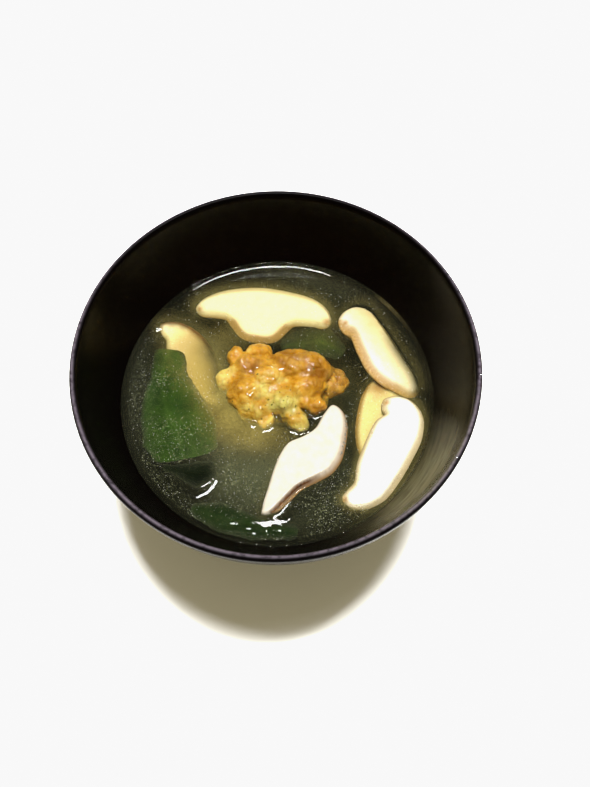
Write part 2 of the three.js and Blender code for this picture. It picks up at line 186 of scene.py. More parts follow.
# Leaves: a spine, the reach to its left and right at even stations, the depth of its middle below
# the level (drop), the height, length and phase of its waves, the height of its fine crinkles, whether
# it lies at the surface under a film of broth, its tone from 0, black, to 1, how far in its rim is lost
# in the broth (soft) and how clear the broth over it is. The fold's near-black tone is painted shade,
# for the shadow under the broad leaf's folded edge.
LEAVES = {
    "leaf_broad": {
        "node": "leaf_left", "drop": 1.2, "rise": 0.8, "wave": 17, "phase": 0.6, "crinkle": 0.12,
        "film": False, "tone": 0.8, "soft": 1.0, "clear": 0.7,
        "spine": [(-34, 18), (-36.2, 8), (-34.4, -3), (-30.9, -11.4), (-29.2, -19.7)],
        "left": [5.4, 9, 12, 12.4, 10.4], "right": [4.6, 3.8, 8.8, 11.8, 8.6],
    },
    "leaf_fold": {
        "node": "leaf_left_fold", "drop": 0.36, "rise": 0.12, "wave": 11, "phase": 2.4, "crinkle": 0.1,
        # Painted shade: near black for the shadow under the broad leaf's folded edge.
        "film": True, "tone": 0.07, "soft": 0.5, "clear": 1.0,
        "spine": [(-35.4, -22.4), (-30.6, -23.4), (-25, -24.4), (-19.6, -23.6)],
        "left": [0.8, 1.8, 3.7, 3], "right": [0.8, 2, 5, 2.6],
    },
    "leaf_at_front": {
        "node": "leaf_front", "drop": 0.44, "rise": 0.03, "wave": 9, "phase": 1.2, "crinkle": 0.12,
        "film": True, "tone": 0.26, "soft": 1.2, "clear": 1.0,
        "spine": [(-27, -35.8), (-18, -38.8), (-8, -41.4), (4.6, -44.2)],
        "left": [1.8, 5, 2.6, 1.8], "right": [1.8, 4.6, 5, 2.4],
    },
    "leaf_sunk": {
        "node": None, "drop": 5.0, "rise": 0.9, "wave": 13, "phase": 0.4, "crinkle": 0.12,
        "film": False, "tone": 0.9, "soft": 4.0, "clear": 0.0,
        "spine": [(2, 18), (8, 20), (15, 20), (22, 16)],
        "left": [2, 5, 6, 2], "right": [2, 6, 7, 3],
    },
}

# Small swells of the soup's surface, which catch the lamp: a line, its height and its width.
SWELLS = [
    ([(-18.8, -22.4), (-20.4, -25.4), (-22.6, -28.2), (-25.6, -30.4)], 0.24, 1.7),
    ([(-1.6, -40.2), (0.6, -40.4), (2.8, -39.2)], 0.055, 0.8),
    ([(-1, -46.4), (4, -46.3), (9, -45.7), (14, -44.3)], 0.115, 0.6),
    ([(-38.2, 25.6), (-37, 26)], 0.3, 1.1),
    ([(-40.6, 29.2), (-40, 29)], 0.26, 0.9),
    ([(-42, 23.2), (-41.6, 22.8)], 0.26, 0.9),
    ([(32.4, 30.4), (33, 30)], 0.2, 0.8),
    ([(36.2, 27.8), (36.8, 27.2)], 0.2, 0.8),
]

# Broth that lies in the dumpling's creases and drops on the bowl's lip: each bead's line and radius.
BEADS = {"fried_dumpling": [
    ([(-10.4, 9.4), (-9.6, 8), (-7.4, 7.6), (-5.4, 8.6), (-4.4, 10.4)], 1.0),
    ([(-3.2, 8.4), (-0.8, 7.6), (2, 7.2), (4.6, 7.8), (6, 7.2)], 0.95),
    ([(9.6, 8.4), (12, 8.1), (14.6, 8.2)], 0.9),
    ([(-9.8, -0.2), (-8.4, -1.2), (-7.4, -0.4)], 0.6),
    ([(-16.2, 7.6), (-15, 6.6)], 0.35),
    ([(11.4, -2.6), (12.6, -3.8), (14, -3.4)], 0.35),
    ([(-3, 4), (-1.6, 3.4), (-0.6, 4.2)], 0.3),
], "lacquer_bowl": [
    ([(58.5, -7.6), (58.9, -6.2)], 0.55),
    ([(47.9, -33.7), (47.3, -34.6)], 0.6),
    ([(48.9, -32.6), (49.4, -31.9)], 0.4),
]}

# ---------------------------------------------------------------- colours and nodes


def linear(code):
    """An sRGB hex value such as 0x12ab9f as linear RGBA."""
    channels = [((code >> shift) & 255) / 255 for shift in (16, 8, 0)]
    bent = [c / 12.92 if c <= 0.04045 else ((c + 0.055) / 1.055) ** 2.4 for c in channels]
    return (*bent, 1.0)


def add(tree, kind, inputs=None, **settings):
    """Adds a node. inputs maps a socket's name or number to a value or to the socket that feeds it."""
    made = tree.nodes.new(kind)
    for name, value in settings.items():
        setattr(made, name, value)
    for key, value in (inputs or {}).items():
        if isinstance(value, bpy.types.NodeSocket):
            tree.links.new(value, made.inputs[key])
        else:
            made.inputs[key].default_value = value
    return made


def new_material(name):
    """An empty node material: the tree, its output and the Object coordinates."""
    material = bpy.data.materials.new(name)
    material.use_nodes = True
    tree = material.node_tree
    tree.nodes.clear()
    out = add(tree, "ShaderNodeOutputMaterial")
    where = add(tree, "ShaderNodeTexCoord").outputs["Object"]
    return material, tree, out, where


def ramp(tree, value, low, high):
    """value spread from low..high to 0..1, and held there past both."""
    inputs = {"Value": value, "From Min": low, "From Max": high}
    return add(tree, "ShaderNodeMapRange", inputs).outputs["Result"]


def math_node(tree, operation, a, b=0.0, c=0.0):
    return add(tree, "ShaderNodeMath", {0: a, 1: b, 2: c}, operation=operation).outputs[0]


def times(tree, a, b):
    return math_node(tree, "MULTIPLY", a, b)


def bell(tree, value):
    """1 where the value is 0, falling off to both sides."""
    return math_node(tree, "EXPONENT", times(tree, times(tree, value, value), -1.0))


def vector_node(tree, operation, a, b=(0.0, 0.0, 0.0)):
    """Vector arithmetic. A length, a distance or a dot product comes out as a number."""
    key = "Scale" if operation == "SCALE" else 1
    result = 1 if operation in ("LENGTH", "DISTANCE", "DOT_PRODUCT") else 0
    return add(tree, "ShaderNodeVectorMath", {0: a, key: b}, operation=operation).outputs[result]


def blend(tree, factor, first, second):
    """Mixes two colours."""
    return add(tree, "ShaderNodeMix", {0: factor, 6: first, 7: second}, data_type="RGBA").outputs[2]


def blend_shaders(tree, factor, first, second):
    return add(tree, "ShaderNodeMixShader", {0: factor, 1: first, 2: second}).outputs[0]


def noise_at(tree, where, size_mm, detail=3.0):
    """Noise whose lumps are size_mm across."""
    inputs = {"Vector": where, "Scale": 1 / (size_mm * MM), "Detail": detail, "Roughness": 0.55}
    return add(tree, "ShaderNodeTexNoise", inputs).outputs["Fac"]


def attribute(tree, name):
    return add(tree, "ShaderNodeAttribute", attribute_name=name).outputs["Fac"]


WHITE = (1.0, 1.0, 1.0, 1.0)
WATER_IOR = 1.33

# How deep red, green and blue light reach in the yellowish broth before a third of it is left, in mm.
CLEAR_DEPTH = (9.0, 7.0, 3.2)


def depth_kept(tree, where, clear_mm):
    """1 at the soup's level and above, falling to 0 as the point lies deeper in the broth."""
    height = add(tree, "ShaderNodeSeparateXYZ", {0: where}).outputs["Z"]
    depth = math_node(tree, "MAXIMUM", math_node(tree, "SUBTRACT", LEVEL * MM, height), 0.0)
    return math_node(tree, "EXPONENT", math_node(tree, "DIVIDE", depth, -clear_mm * MM))


# Where the deep broth scatters the most light, how far that reaches, and the share left at the walls.
MURK_MIDDLE, MURK_REACH, MURK_DARK = (-8, -15, 0), 24, 0.3


def murk_here(tree, where, murk):
    """The light that the deep broth scatters, painted as its colour: lighter in the open middle, darker near
    the black walls as painted shade.
    """
    offset = vector_node(tree, "SUBTRACT", where, tuple(c * MM for c in MURK_MIDDLE))
    far = vector_node(tree, "LENGTH", vector_node(tree, "MULTIPLY", offset, (1, 1, 0)))
    share = bell(tree, math_node(tree, "DIVIDE", far, MURK_REACH * MM))
    share = math_node(tree, "MULTIPLY_ADD", share, 1 - MURK_DARK, MURK_DARK)
    return vector_node(tree, "SCALE", tuple(murk[:3]), share)


def sunk(tree, where, dry, murk):
    """A colour as it looks through the broth above it: yellowed, then lost in the murk."""
    kept = [depth_kept(tree, where, clear) for clear in CLEAR_DEPTH]
    share = add(tree, "ShaderNodeCombineXYZ", dict(enumerate(kept))).outputs[0]
    lost = math_node(tree, "SUBTRACT", 1.0, kept[1])
    cloud = vector_node(tree, "SCALE", murk_here(tree, where, murk), lost)
    return vector_node(tree, "ADD", vector_node(tree, "MULTIPLY", dry, share), cloud)


def faded(tree, where, dry, murk):
    """A colour through the broth above it, with the rims that the piece loses in it."""
    deep = sunk(tree, where, dry, murk)
    return blend(tree, attribute(tree, "lost"), deep, murk_here(tree, where, murk))


def bump(tree, height, depth_mm):
    inputs = {"Height": height, "Distance": depth_mm * MM, "Strength": 1.0}
    return add(tree, "ShaderNodeBump", inputs).outputs["Normal"]


def surfaced(tree, out, inputs):
    """Ends a material in one surface with these inputs."""
    surface = add(tree, "ShaderNodeBsdfPrincipled", inputs).outputs[0]
    tree.links.new(surface, out.inputs[0])


# ---------------------------------------------------------------- materials


# The painted highlight along the lip, a band of lamp light on its rounded top, where the lip is also
# worn matt: its radius and half width in mm, how far it shifts with y, and how far below the top it
# starts and is whole.
LIP_LINE, LIP_HALF, LIP_SHIFT = 59.05, 0.46, 0.011
LIP_START, LIP_WHOLE = 1.6, 0.9

# A painted glow on the inner wall, for the light that the bright slice beside it throws there: its
# middle in mm, how far it reaches and how much of the lacquer it hides.
WALL_GLOW_MIDDLE, WALL_GLOW_REACH, WALL_GLOW_SHARE = (41.0, -34.0, 50.0), 17.0, 0.5


def lacquer_material(sizes):
    """Urethane lacquer sprayed black over turned wood and rubbed down: deep gloss with a faint plum
    cast, a slightly matt lip where it is handled, with a painted highlight along it, a painted glow on
    the inner wall where the bright slice beside it throws light, and cloudy broth in front of it below
    the level."""
    material, tree, out, where = new_material("sprayed urethane lacquer")
    place = add(tree, "ShaderNodeSeparateXYZ", {0: where}).outputs
    flat = vector_node(tree, "MULTIPLY", where, (1, 1, 0))
    # Painted highlight: a pale plum band of lamp light along the rounded lip, broken into dashes by noise;
    # the same mask makes the lip matt where it is worn.
    line = math_node(tree, "MULTIPLY_ADD", place["Y"], -LIP_SHIFT, vector_node(tree, "LENGTH", flat))
    off = math_node(tree, "DIVIDE", math_node(tree, "SUBTRACT", line, LIP_LINE * MM), LIP_HALF * MM)
    high = ramp(tree, place["Z"], (BOWL_HEIGHT - LIP_START) * MM, (BOWL_HEIGHT - LIP_WHOLE) * MM)
    rubbed = ramp(tree, noise_at(tree, where, 1.4), 0.2, 0.55)
    lip_sheen_and_wear = times(tree, times(tree, bell(tree, off), high), rubbed)
    dry = blend(tree, lip_sheen_and_wear, sizes.lacquer, sizes.lip)
    stretched = add(tree, "ShaderNodeMapping", {0: where, 3: (1, 1, 6)}).outputs[0]
    # Painted light: an olive glow in streaks on the inner wall near the front right, where the bright slice
    # beside it throws light.
    offset = vector_node(tree, "DISTANCE", where, tuple(c * MM for c in WALL_GLOW_MIDDLE))
    share = bell(tree, math_node(tree, "DIVIDE", offset, WALL_GLOW_REACH * MM))
    glow_streaks = ramp(tree, noise_at(tree, stretched, 8.0, 2.0), 0.3, 0.6)
    glow_streaks = math_node(tree, "MULTIPLY_ADD", glow_streaks, 0.4, 0.6)
    facing = add(tree, "ShaderNodeNewGeometry").outputs["Normal"]
    inner = math_node(tree, "LESS_THAN", vector_node(tree, "DOT_PRODUCT", flat, facing), 0.0)
    painted_wall_glow = times(tree, times(tree, share, glow_streaks), inner)
    dry = blend(tree, times(tree, painted_wall_glow, WALL_GLOW_SHARE), dry, sizes.painted_wall_glow)
    rough = math_node(tree, "MULTIPLY_ADD", noise_at(tree, where, 14.0), 0.06, 0.22)
    surfaced(tree, out, {
        "Base Color": sunk(tree, where, dry, sizes.murk), "IOR": 1.14,
        "Roughness": math_node(tree, "MULTIPLY_ADD", lip_sheen_and_wear, 0.24, rough),
        "Normal": bump(tree, noise_at(tree, stretched, 5.0, 2.0), 0.012),
    })
    return material


def broth_material(sizes):
    """Clear soup, water with a little dissolved starch and fat: a mirror-smooth wet surface, milky where
    starch has come off the batter. Rays from lamps pass, so that they light what is in it."""
    material, tree, out, where = new_material("clear soup broth")
    bent = add(tree, "ShaderNodeBsdfRefraction", {"Color": WHITE, "Roughness": 0.15, "IOR": WATER_IOR})
    tint = blend(tree, attribute(tree, "yellow"), tuple(sizes.broth), tuple(sizes.starch))
    milk = add(tree, "ShaderNodeBsdfDiffuse", {"Color": tint})
    grain = ramp(tree, noise_at(tree, where, 0.7, 2.0), 0.3, 0.7)
    grain = math_node(tree, "MULTIPLY_ADD", grain, 0.4, 0.8)
    # Pale dots on the broth: partly fine fat specks, partly painted glints of tiny fat droplets.
    speck_and_glint_dots = ramp(tree, noise_at(tree, where, 0.42, 0.0), 0.64, 0.74)
    speck_and_glint_dots = times(tree, speck_and_glint_dots, attribute(tree, "speckle"))
    haze = math_node(tree, "MULTIPLY_ADD", speck_and_glint_dots, 0.3, times(tree, attribute(tree, "haze"), grain))
    inside_soup = blend_shaders(tree, haze, bent.outputs[0], milk.outputs[0])
    mirror = add(tree, "ShaderNodeBsdfGlossy", {"Color": WHITE, "Roughness": 0.03}).outputs[0]
    fresnel = add(tree, "ShaderNodeFresnel", {"IOR": WATER_IOR}).outputs[0]
    surface = blend_shaders(tree, fresnel, inside_soup, mirror)
    through = add(tree, "ShaderNodeBsdfTransparent").outputs[0]
    shadow = add(tree, "ShaderNodeLightPath").outputs["Is Shadow Ray"]
    tree.links.new(blend_shaders(tree, shadow, surface, through), out.inputs[0])
    return material


def batter_material(sizes):
    """Fried wheat batter soaked in broth: translucent pale yellow, orange-brown where it was browned
    in the oil, and glazed with a wet film."""
    material, tree, out, where = new_material("soaked fried batter")
    patches = ramp(tree, noise_at(tree, where, 5.0, 4.0), 0.32, 0.68)
    browned = math_node(tree, "MULTIPLY_ADD", patches, 0.7, -0.35)
    browned = math_node(tree, "ADD", attribute(tree, "browned"), browned)
    first = blend(tree, ramp(tree, browned, 0.0, 0.5), sizes.pale, sizes.golden)
    colour = blend(tree, ramp(tree, browned, 0.5, 1.0), first, sizes.brown)
    green = times(tree, attribute(tree, "herbs"), 0.35)
    colour = blend(tree, green, colour, sizes.herb)
    specks = ramp(tree, noise_at(tree, where, 1.1, 2.0), 0.66, 0.74)
    colour = blend(tree, times(tree, specks, 0.5), colour, sizes.speck)
    # Browner in the creases and paler on the crests: partly batter soaked in the creases, partly painted
    # shade in the creases and painted light on the crests.
    crest = ramp(tree, attribute(tree, "crest"), 0.25, 0.75)
    crease = times(tree, math_node(tree, "SUBTRACT", 1.0, crest), 0.22)
    colour = blend(tree, crease, colour, sizes.brown)
    colour = blend(tree, times(tree, crest, 0.12), colour, sizes.pale)
    colour = sunk(tree, where, colour, sizes.murk)
    film = depth_kept(tree, where, 0.5)
    grain = noise_at(tree, where, 1.2, 4.0)
    surfaced(tree, out, {
        "Base Color": colour, "Roughness": 0.4, "IOR": 1.35, "Subsurface Weight": 0.6,
        "Subsurface Radius": (1.0, 0.6, 0.25), "Subsurface Scale": 2.4 * MM, "Coat Weight": film,
        "Coat Roughness": 0.04, "Coat IOR": 1.42, "Normal": bump(tree, grain, 0.3),
        "Coat Normal": bump(tree, noise_at(tree, where, 2.0, 2.0), 0.14),
    })
    return material


def mushroom_material(sizes):
    """Cut mushroom, simmered: dense cream flesh that light enters a little, dark brown cap skin round
    the edge and tan gills in fine folds."""
    material, tree, out, where = new_material("simmered mushroom flesh")
    fibre = noise_at(tree, where, 2.2, 4.0)
    flesh = blend(tree, ramp(tree, fibre, 0.35, 0.7), sizes.flesh, sizes.flesh_shade)
    flesh = blend(tree, attribute(tree, "cream"), flesh, sizes.cream)
    flesh = blend(tree, attribute(tree, "edge"), flesh, sizes.rim_flesh)
    folds = ramp(tree, noise_at(tree, where, 0.7, 2.0), 0.3, 0.7)
    gills = blend(tree, folds, sizes.gill, sizes.gill_dark)
    colour = blend(tree, attribute(tree, "gill"), flesh, gills)
    skin = blend(tree, ramp(tree, noise_at(tree, where, 1.6), 0.3, 0.7), sizes.skin, sizes.skin_light)
    colour = blend(tree, attribute(tree, "skin"), colour, skin)
    colour = faded(tree, where, colour, sizes.murk)
    film = times(tree, depth_kept(tree, where, 0.4), 0.6)
    surfaced(tree, out, {
        "Base Color": colour, "Roughness": 0.6, "IOR": 1.2, "Subsurface Weight": 0.2,
        "Subsurface Radius": (1.0, 0.8, 0.5), "Subsurface Scale": 1.0 * MM, "Coat Weight": film,
        "Coat Roughness": 0.12, "Coat IOR": 1.33, "Normal": bump(tree, fibre, 0.08),
    })
    return material


def leaf_material(sizes):
    """Boiled spinach leaf: soft, dark and wet, with paler veins and a slight mottle."""
    material, tree, out, where = new_material("boiled spinach leaf")
    mottle = ramp(tree, noise_at(tree, where, 6.0, 4.0), 0.3, 0.7)
    colour = blend(tree, mottle, sizes.leaf_dark, sizes.leaf)
    colour = blend(tree, times(tree, attribute(tree, "vein"), 0.35), colour, sizes.vein)
    # Darker by its tone: each leaf's own green, and for the fold, painted shade.
    colour = vector_node(tree, "SCALE", colour, attribute(tree, "tone"))
    colour = faded(tree, where, colour, sizes.murk)
    surfaced(tree, out, {
        "Base Color": colour, "Roughness": 0.6, "IOR": 1.1, "Subsurface Weight": 0.1,
        "Subsurface Radius": (0.3, 0.6, 0.1), "Subsurface Scale": 0.5 * MM,
        "Normal": bump(tree, noise_at(tree, where, 0.8, 3.0), 0.08),
    })
    return material


def bead_material():
    """Clear broth pooled in a crease: nothing of it shows but the lamp in its rounded surface."""
    material, tree, out, where = new_material("pooled clear broth")
    clear = add(tree, "ShaderNodeBsdfTransparent").outputs[0]
    rough = times(tree, ramp(tree, noise_at(tree, where, 1.5), 0.2, 0.8), 0.1)
    mirror = add(tree, "ShaderNodeBsdfGlossy", {"Color": WHITE, "Roughness": rough}).outputs[0]
    fresnel = add(tree, "ShaderNodeFresnel", {"IOR": 1.42}).outputs[0]
    tree.links.new(blend_shaders(tree, fresnel, clear, mirror), out.inputs[0])
    return material


def small_material(name, colour, roughness, coat=0.0, transmission=0.0):
    """Specks, bubbles and flecks: too small to show a pattern, so only their colour drifts a little."""
    material, tree, out, where = new_material(name)
    drift = blend(tree, noise_at(tree, where, 3.0), colour, [c * 0.75 for c in colour[:3]] + [1.0])
    surfaced(tree, out, {
        "Base Color": drift, "Roughness": roughness, "Coat Weight": coat, "Coat Roughness": 0.03,
        "Transmission Weight": transmission, "IOR": 1.33,
    })
    return material


# ---------------------------------------------------------------- curves, grids and meshes


# Points that a curve gets between two corners.
SPAN_POINTS = 24


def spline(corners, closed):
    """Centripetal Catmull-Rom through the corners, as an array of points."""
    points = [np.array(c, float) for c in corners]
    count = len(points)
    if not closed:
        points = [2 * points[0] - points[1], *points, 2 * points[-1] - points[-2]]
    made = []
    for i in range(count if closed else count - 1):
        p = [points[(i + k - 1) % count] if closed else points[i + k] for k in range(4)]
        gaps = [math.sqrt(np.linalg.norm(p[k + 1] - p[k])) for k in range(3)]
        leave = (p[1] - p[0]) / gaps[0] - (p[2] - p[0]) / (gaps[0] + gaps[1]) + (p[2] - p[1]) / gaps[1]
        reach = (p[2] - p[1]) / gaps[1] - (p[3] - p[1]) / (gaps[1] + gaps[2]) + (p[3] - p[2]) / gaps[2]
        leave, reach = leave * gaps[1], reach * gaps[1]
        for t in np.arange(SPAN_POINTS) / SPAN_POINTS:
            square, cube = 3 * (p[2] - p[1]) - 2 * leave - reach, 2 * (p[1] - p[2]) + leave + reach
            made.append(p[1] + leave * t + square * t * t + cube * t ** 3)
    if not closed:
        made.append(points[-2])
    return np.array(made)


def even(line, count, closed):
    """The line resampled to count points at equal distances."""
    path = np.vstack([line, line[:1]]) if closed else line
    lengths = np.concatenate([[0], np.cumsum(np.linalg.norm(np.diff(path, axis=0), axis=1))])
    stations = np.linspace(0, lengths[-1], count + 1)[:-1] if closed else np.linspace(0, lengths[-1], count)
    return np.stack([np.interp(stations, lengths, path[:, k]) for k in range(path.shape[1])], axis=1)


def distance_to(points, line, closed):
    """Distance from each 2-D point to a polyline."""
    starts = line if closed else line[:-1]
    ends = np.roll(line, -1, axis=0) if closed else line[1:]
    best = np.full(len(points), np.inf)
    for a, b in zip(starts, ends):
        run = b - a
        share = np.clip(((points - a) @ run) / max(run @ run, 1e-12), 0, 1)
        best = np.minimum(best, np.linalg.norm(points - a - share[:, None] * run, axis=1))
    return best


def inside(points, loop):
    """True for each 2-D point that lies in the closed loop."""
    found = np.zeros(len(points), bool)
    for a, b in zip(loop, np.roll(loop, -1, axis=0)):
        crosses = (a[1] > points[:, 1]) != (b[1] > points[:, 1])
        if crosses.any():
            at = (b[0] - a[0]) * (points[:, 1] - a[1]) / (b[1] - a[1] + 1e-15) + a[0]
            found ^= crosses & (points[:, 0] < at)
    return found


def turned(points, degrees, at):
    """The x and y of points as seen from a place and along a direction."""
    angle = math.radians(degrees)
    x, y = points[:, 0] - at[0], points[:, 1] - at[1]
    return x * math.cos(angle) + y * math.sin(angle), y * math.cos(angle) - x * math.sin(angle)


def ripple(points, size, seed):
    """Smooth noise from -1 to 1 at each 2-D or 3-D point, with waves of about size mm."""
    offset = Vector((seed * 7.3, seed * 3.1, seed * 5.7))
    return np.array([noise.noise(Vector((*p, 0)[:3]) / size + offset) for p in points])


def add_object(name, mesh):
    made = bpy.data.objects.new(name, mesh)
    bpy.context.collection.objects.link(made)
    return made


def set_attribute(mesh, label, values):
    """Stores one number for each point of a mesh."""
    layer = mesh.attributes.new(label, "FLOAT", "POINT")
    layer.data.foreach_set("value", np.asarray(values, np.float32))


def dress(piece, material):
    """Gives a piece smooth shading and its one material."""
    piece.data.materials.clear()
    piece.data.materials.append(material)
    piece.data.shade_smooth()


def make_piece(name, points, faces, material, attributes=None):
    """A smooth mesh object from millimetre points, with one float attribute for each given array."""
    mesh = bpy.data.meshes.new(name)
    mesh.from_pydata([tuple(p) for p in np.asarray(points, float) * MM], [], faces)
    for label, values in (attributes or {}).items():
        set_attribute(mesh, label, values)
    if attributes:
        outward(mesh)
    piece = add_object(name, mesh)
    dress(piece, material)
    return piece


def line_object(name, points, edges=None):
    """Lines for a modifier to work on: one line through all the points where no edges are given."""
    edges = edges or [(i, i + 1) for i in range(len(points) - 1)]
    mesh = bpy.data.meshes.new(name)
    mesh.from_pydata([tuple(p) for p in np.asarray(points, float) * MM], edges, [])
    return add_object(name, mesh)


def outward(mesh):
    """Turns every face of a closed mesh outwards."""
    shell = bmesh.new()
    shell.from_mesh(mesh)
    bmesh.ops.recalc_face_normals(shell, faces=shell.faces)
    shell.to_mesh(mesh)
    shell.free()


def evaluated(source):
    """A plain mesh of what an object's modifiers make of it."""
    graph = bpy.context.evaluated_depsgraph_get()
    mesh = bpy.data.meshes.new_from_object(source.evaluated_get(graph), depsgraph=graph)
    source.modifiers.clear()
    return mesh


def applied(piece):
    """Turns a piece's modifiers into plain mesh."""
    piece.data = evaluated(piece)
    piece.data.name = piece.name


def settled(piece, node=None):
    """Gives a finished piece to the bowl's body and hides the solid that it stands for."""
    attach(piece, "root")
    if node:
        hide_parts(node)


# ---------------------------------------------------------------- the soup's surface

# The broth's mesh: rings out to the wall and points in each. Then, in mm, how far it reaches into the
# wall, how far round a tip it climbs, where the specks end, and the film over a leaf and its wrinkles.
EDGE_RADIUS_STEPS = 150
EDGE_SIDES = 480
WALL_OVERLAP = 0.25
TIP_REACH = 9.0
SPECK_REACH = 46.6
LEAF_FILM = 0.12
FILM_WRINKLE = 0.032

# Points round a slice and stations along a leaf from which distances are measured.
SLICE_MARKS = 72
LEAF_MARKS = 24


def wall_radius(wall, depth):
    return wall["rim"] * (1 - (depth / wall["reach"]) ** wall["swell"]) ** wall["taper"]


def slice_matrix(item):
    """Where a slice lies: turned, dived and rolled, in millimetres."""
    turn = Matrix.Rotation(math.radians(item["heading"]), 4, "Z")
    dive = Matrix.Rotation(math.radians(item["dive"]), 4, "Y")
    roll = Matrix.Rotation(math.radians(-item["roll"]), 4, "X")
    place = Matrix.Translation((item["at"][0], item["at"][1], LEVEL + item["top"]))
    return place @ turn @ dive @ roll


def placed(matrix, points):
    return np.asarray(points) @ np.array(matrix.to_3x3()).T + np.array(matrix.translation)


def slice_loop(item, count):
    return even(spline(item["skin"] + item["gills"], True), count, True)


def slice_outline(item, count):
    """The outline of a slice's cut face where it lies."""
    return placed(slice_matrix(item), np.c_[slice_loop(item, count), np.zeros(count)])


def lobe_reach(points, lobe):
    """How far each 2-D point lies outside the lobe's cut at the level, and 0 within the cut."""
    at, half, turn = lobe[:3]
    if abs(at[2]) >= half[2]:
        return np.full(len(points), np.inf)
    share = math.sqrt(1 - (at[2] / half[2]) ** 2)
    u, v = turned(points, turn, np.add(at[:2], DUMPLING_CENTRE))
    rho = np.maximum(np.hypot(u / (half[0] * share), v / (half[1] * share)), 1e-6)
    return np.maximum(np.hypot(u, v) * (1 - 1 / rho), 0)


def dumpling_distance(points):
    return np.min([lobe_reach(points, lobe) for lobe in LOBES], axis=0)


def soup_height(points, sizes):
    """Height of the broth over its level at 2-D points: it climbs the wall and what floats in it."""
    rise, width = sizes.meniscus_rise / MM, sizes.meniscus_width / MM
    edge = wall_radius(INNER_WALL, SOUP_DEPTH_BELOW_RIM)
    radius = np.hypot(points[:, 0], points[:, 1])
    height = rise * np.exp(-np.maximum(edge - radius, 0) / width)
    height = np.maximum(height, 0.7 * rise * np.exp(-dumpling_distance(points) / width))
    for item in SLICES.values():
        if item["top"] > 0:
            far = np.maximum(slice_distance(item, points), 0)
            tip = placed(slice_matrix(item), [(*item["gills"][0], 0)])[0, :2]
            near = np.exp(-(np.hypot(*(points - tip).T) / TIP_REACH) ** 2)
            height = np.maximum(height, rise * (0.2 + 0.6 * near) * np.exp(-far / width))
    wrinkles = FILM_WRINKLE * ripple(points, 1.3, 23)
    for item in LEAVES.values():
        if item["film"]:
            far = np.maximum(leaf_distance(item, points), 0)
            wet = leaf_height(item, points[:, 0], points[:, 1], False) + LEAF_THICKNESS / 2 + LEAF_FILM
            near = np.exp(-(far / 1.5) ** 2)
            height = np.maximum(height, wet * near) + near * wrinkles
    for line, tall, wide in SWELLS:
        height += tall * np.exp(-(distance_to(points, np.array(line), False) / wide) ** 2)
    return height


# Where starch and fine particles cloud the broth: middle, reach along and across in mm, turn in
# degrees, the share of the light that they scatter, and how yellow they are.
BASE_HAZE = 0.010
GLOW_INSIDE = 0.6
HAZES = [
    ((-17.5, -2.0), (7.0, 13.0), 32, 0.26, 1.0),
    ((-7.5, -12.0), (9.0, 5.0), -14, 0.24, 1.0),
    ((-23.0, 10.0), (6.0, 12.0), 40, 0.10, 0.9),
    ((-10.0, -22.0), (15.0, 11.0), 0, 0.062, 0.15),
    ((-15.5, 20.0), (6.0, 5.5), 0, 0.13, 0.9),
    ((13.0, 19.0), (9.0, 5.0), 0, 0.05, 0.9),
    ((17.0, 5.0), (9.0, 6.0), 0, 0.05, 0.9),
    ((12.0, -32.0), (20.0, 11.0), 0, 0.02, 0.1),
    ((-43.0, 2.0), (5.0, 24.0), 0, 0.02, 0.0),
    ((15.0, 40.0), (16.0, 5.0), -22, 0.03, 0.3),
]


def soup_haze(points):
    """How cloudy the broth is at 2-D points, and how yellow the cloud is."""
    total = np.full(len(points), BASE_HAZE)
    yellow = np.zeros(len(points))
    patches = 1 + 0.35 * ripple(points, 6.0, 14)
    for at, (along, across), turn, share, tint in HAZES:
        u, v = turned(points, turn, at)
        mist = share * patches * np.exp(-(u / along) ** 2 - (v / across) ** 2)
        total += mist
        yellow += mist * tint
    for item in SLICES.values():
        share, reach = item["glow"]
        far = slice_distance(item, points)
        mist = share * np.exp(-np.where(far > 0, far / reach, far / GLOW_INSIDE) ** 2)
        total += mist
        yellow += mist * 0.8
    yellow /= total
    for item in LEAVES.values():
        depth = np.maximum(-leaf_height(item, points[:, 0], points[:, 1]), 0)
        within = np.maximum(-leaf_distance(item, points), 0)
        total *= 1 - item["clear"] * (1 - np.exp(-(within / 1.5) ** 2)) * np.exp(-depth / 2.5)
    return total, yellow


def signed_distance(points, loop):
    """How far each 2-D point lies outside a loop, or below zero how far inside."""
    return distance_to(points, loop, True) * np.where(inside(points, loop), -1, 1)


def leaf_distance(item, points):
    left, right = leaf_edges(item, np.linspace(0, 1, LEAF_MARKS))
    return signed_distance(points, np.vstack([left, right[::-1]]))


def slice_distance(item, points):
    loop = slice_outline(item, SLICE_MARKS)
    return signed_distance(points, loop[:, :2])


def soup_specks(points):
    """How thick the specks lie on the broth at 2-D points: in drifts, thicker to the front and the left."""
    front = np.interp(points[:, 1] + 0.4 * points[:, 0], (-25, 30), (1, 0.4))
    drifts = np.clip(0.55 + 1.1 * ripple(points, 9.0, 17), 0.15, 1)
    front_slice = slice_distance(SLICES["slice_front"], points)
    fold = leaf_distance(LEAVES["leaf_fold"], points)
    radius = np.hypot(points[:, 0], points[:, 1])
    clear = (dumpling_distance(points) > 0.3) & (front_slice > 0.3) & (fold > 0.2)
    over_leaf = np.clip(leaf_distance(LEAVES["leaf_at_front"], points) / 2 + 1, 0.25, 1)
    return front * drifts * clear * (radius < SPECK_REACH) * over_leaf


def broad_ripples(points):
    return 0.03 * ripple(points, 16.0, 1)


# ---------------------------------------------------------------- settings

# Deep broth, as it scatters the light: olive grey.
MURK = 0x2c2f1e


def length(name, description, default_mm):
    return bpy.props.FloatProperty(
        name=name, description=description, default=default_mm * MM, min=0.0, unit="LENGTH",
        subtype="DISTANCE", precision=5,
    )


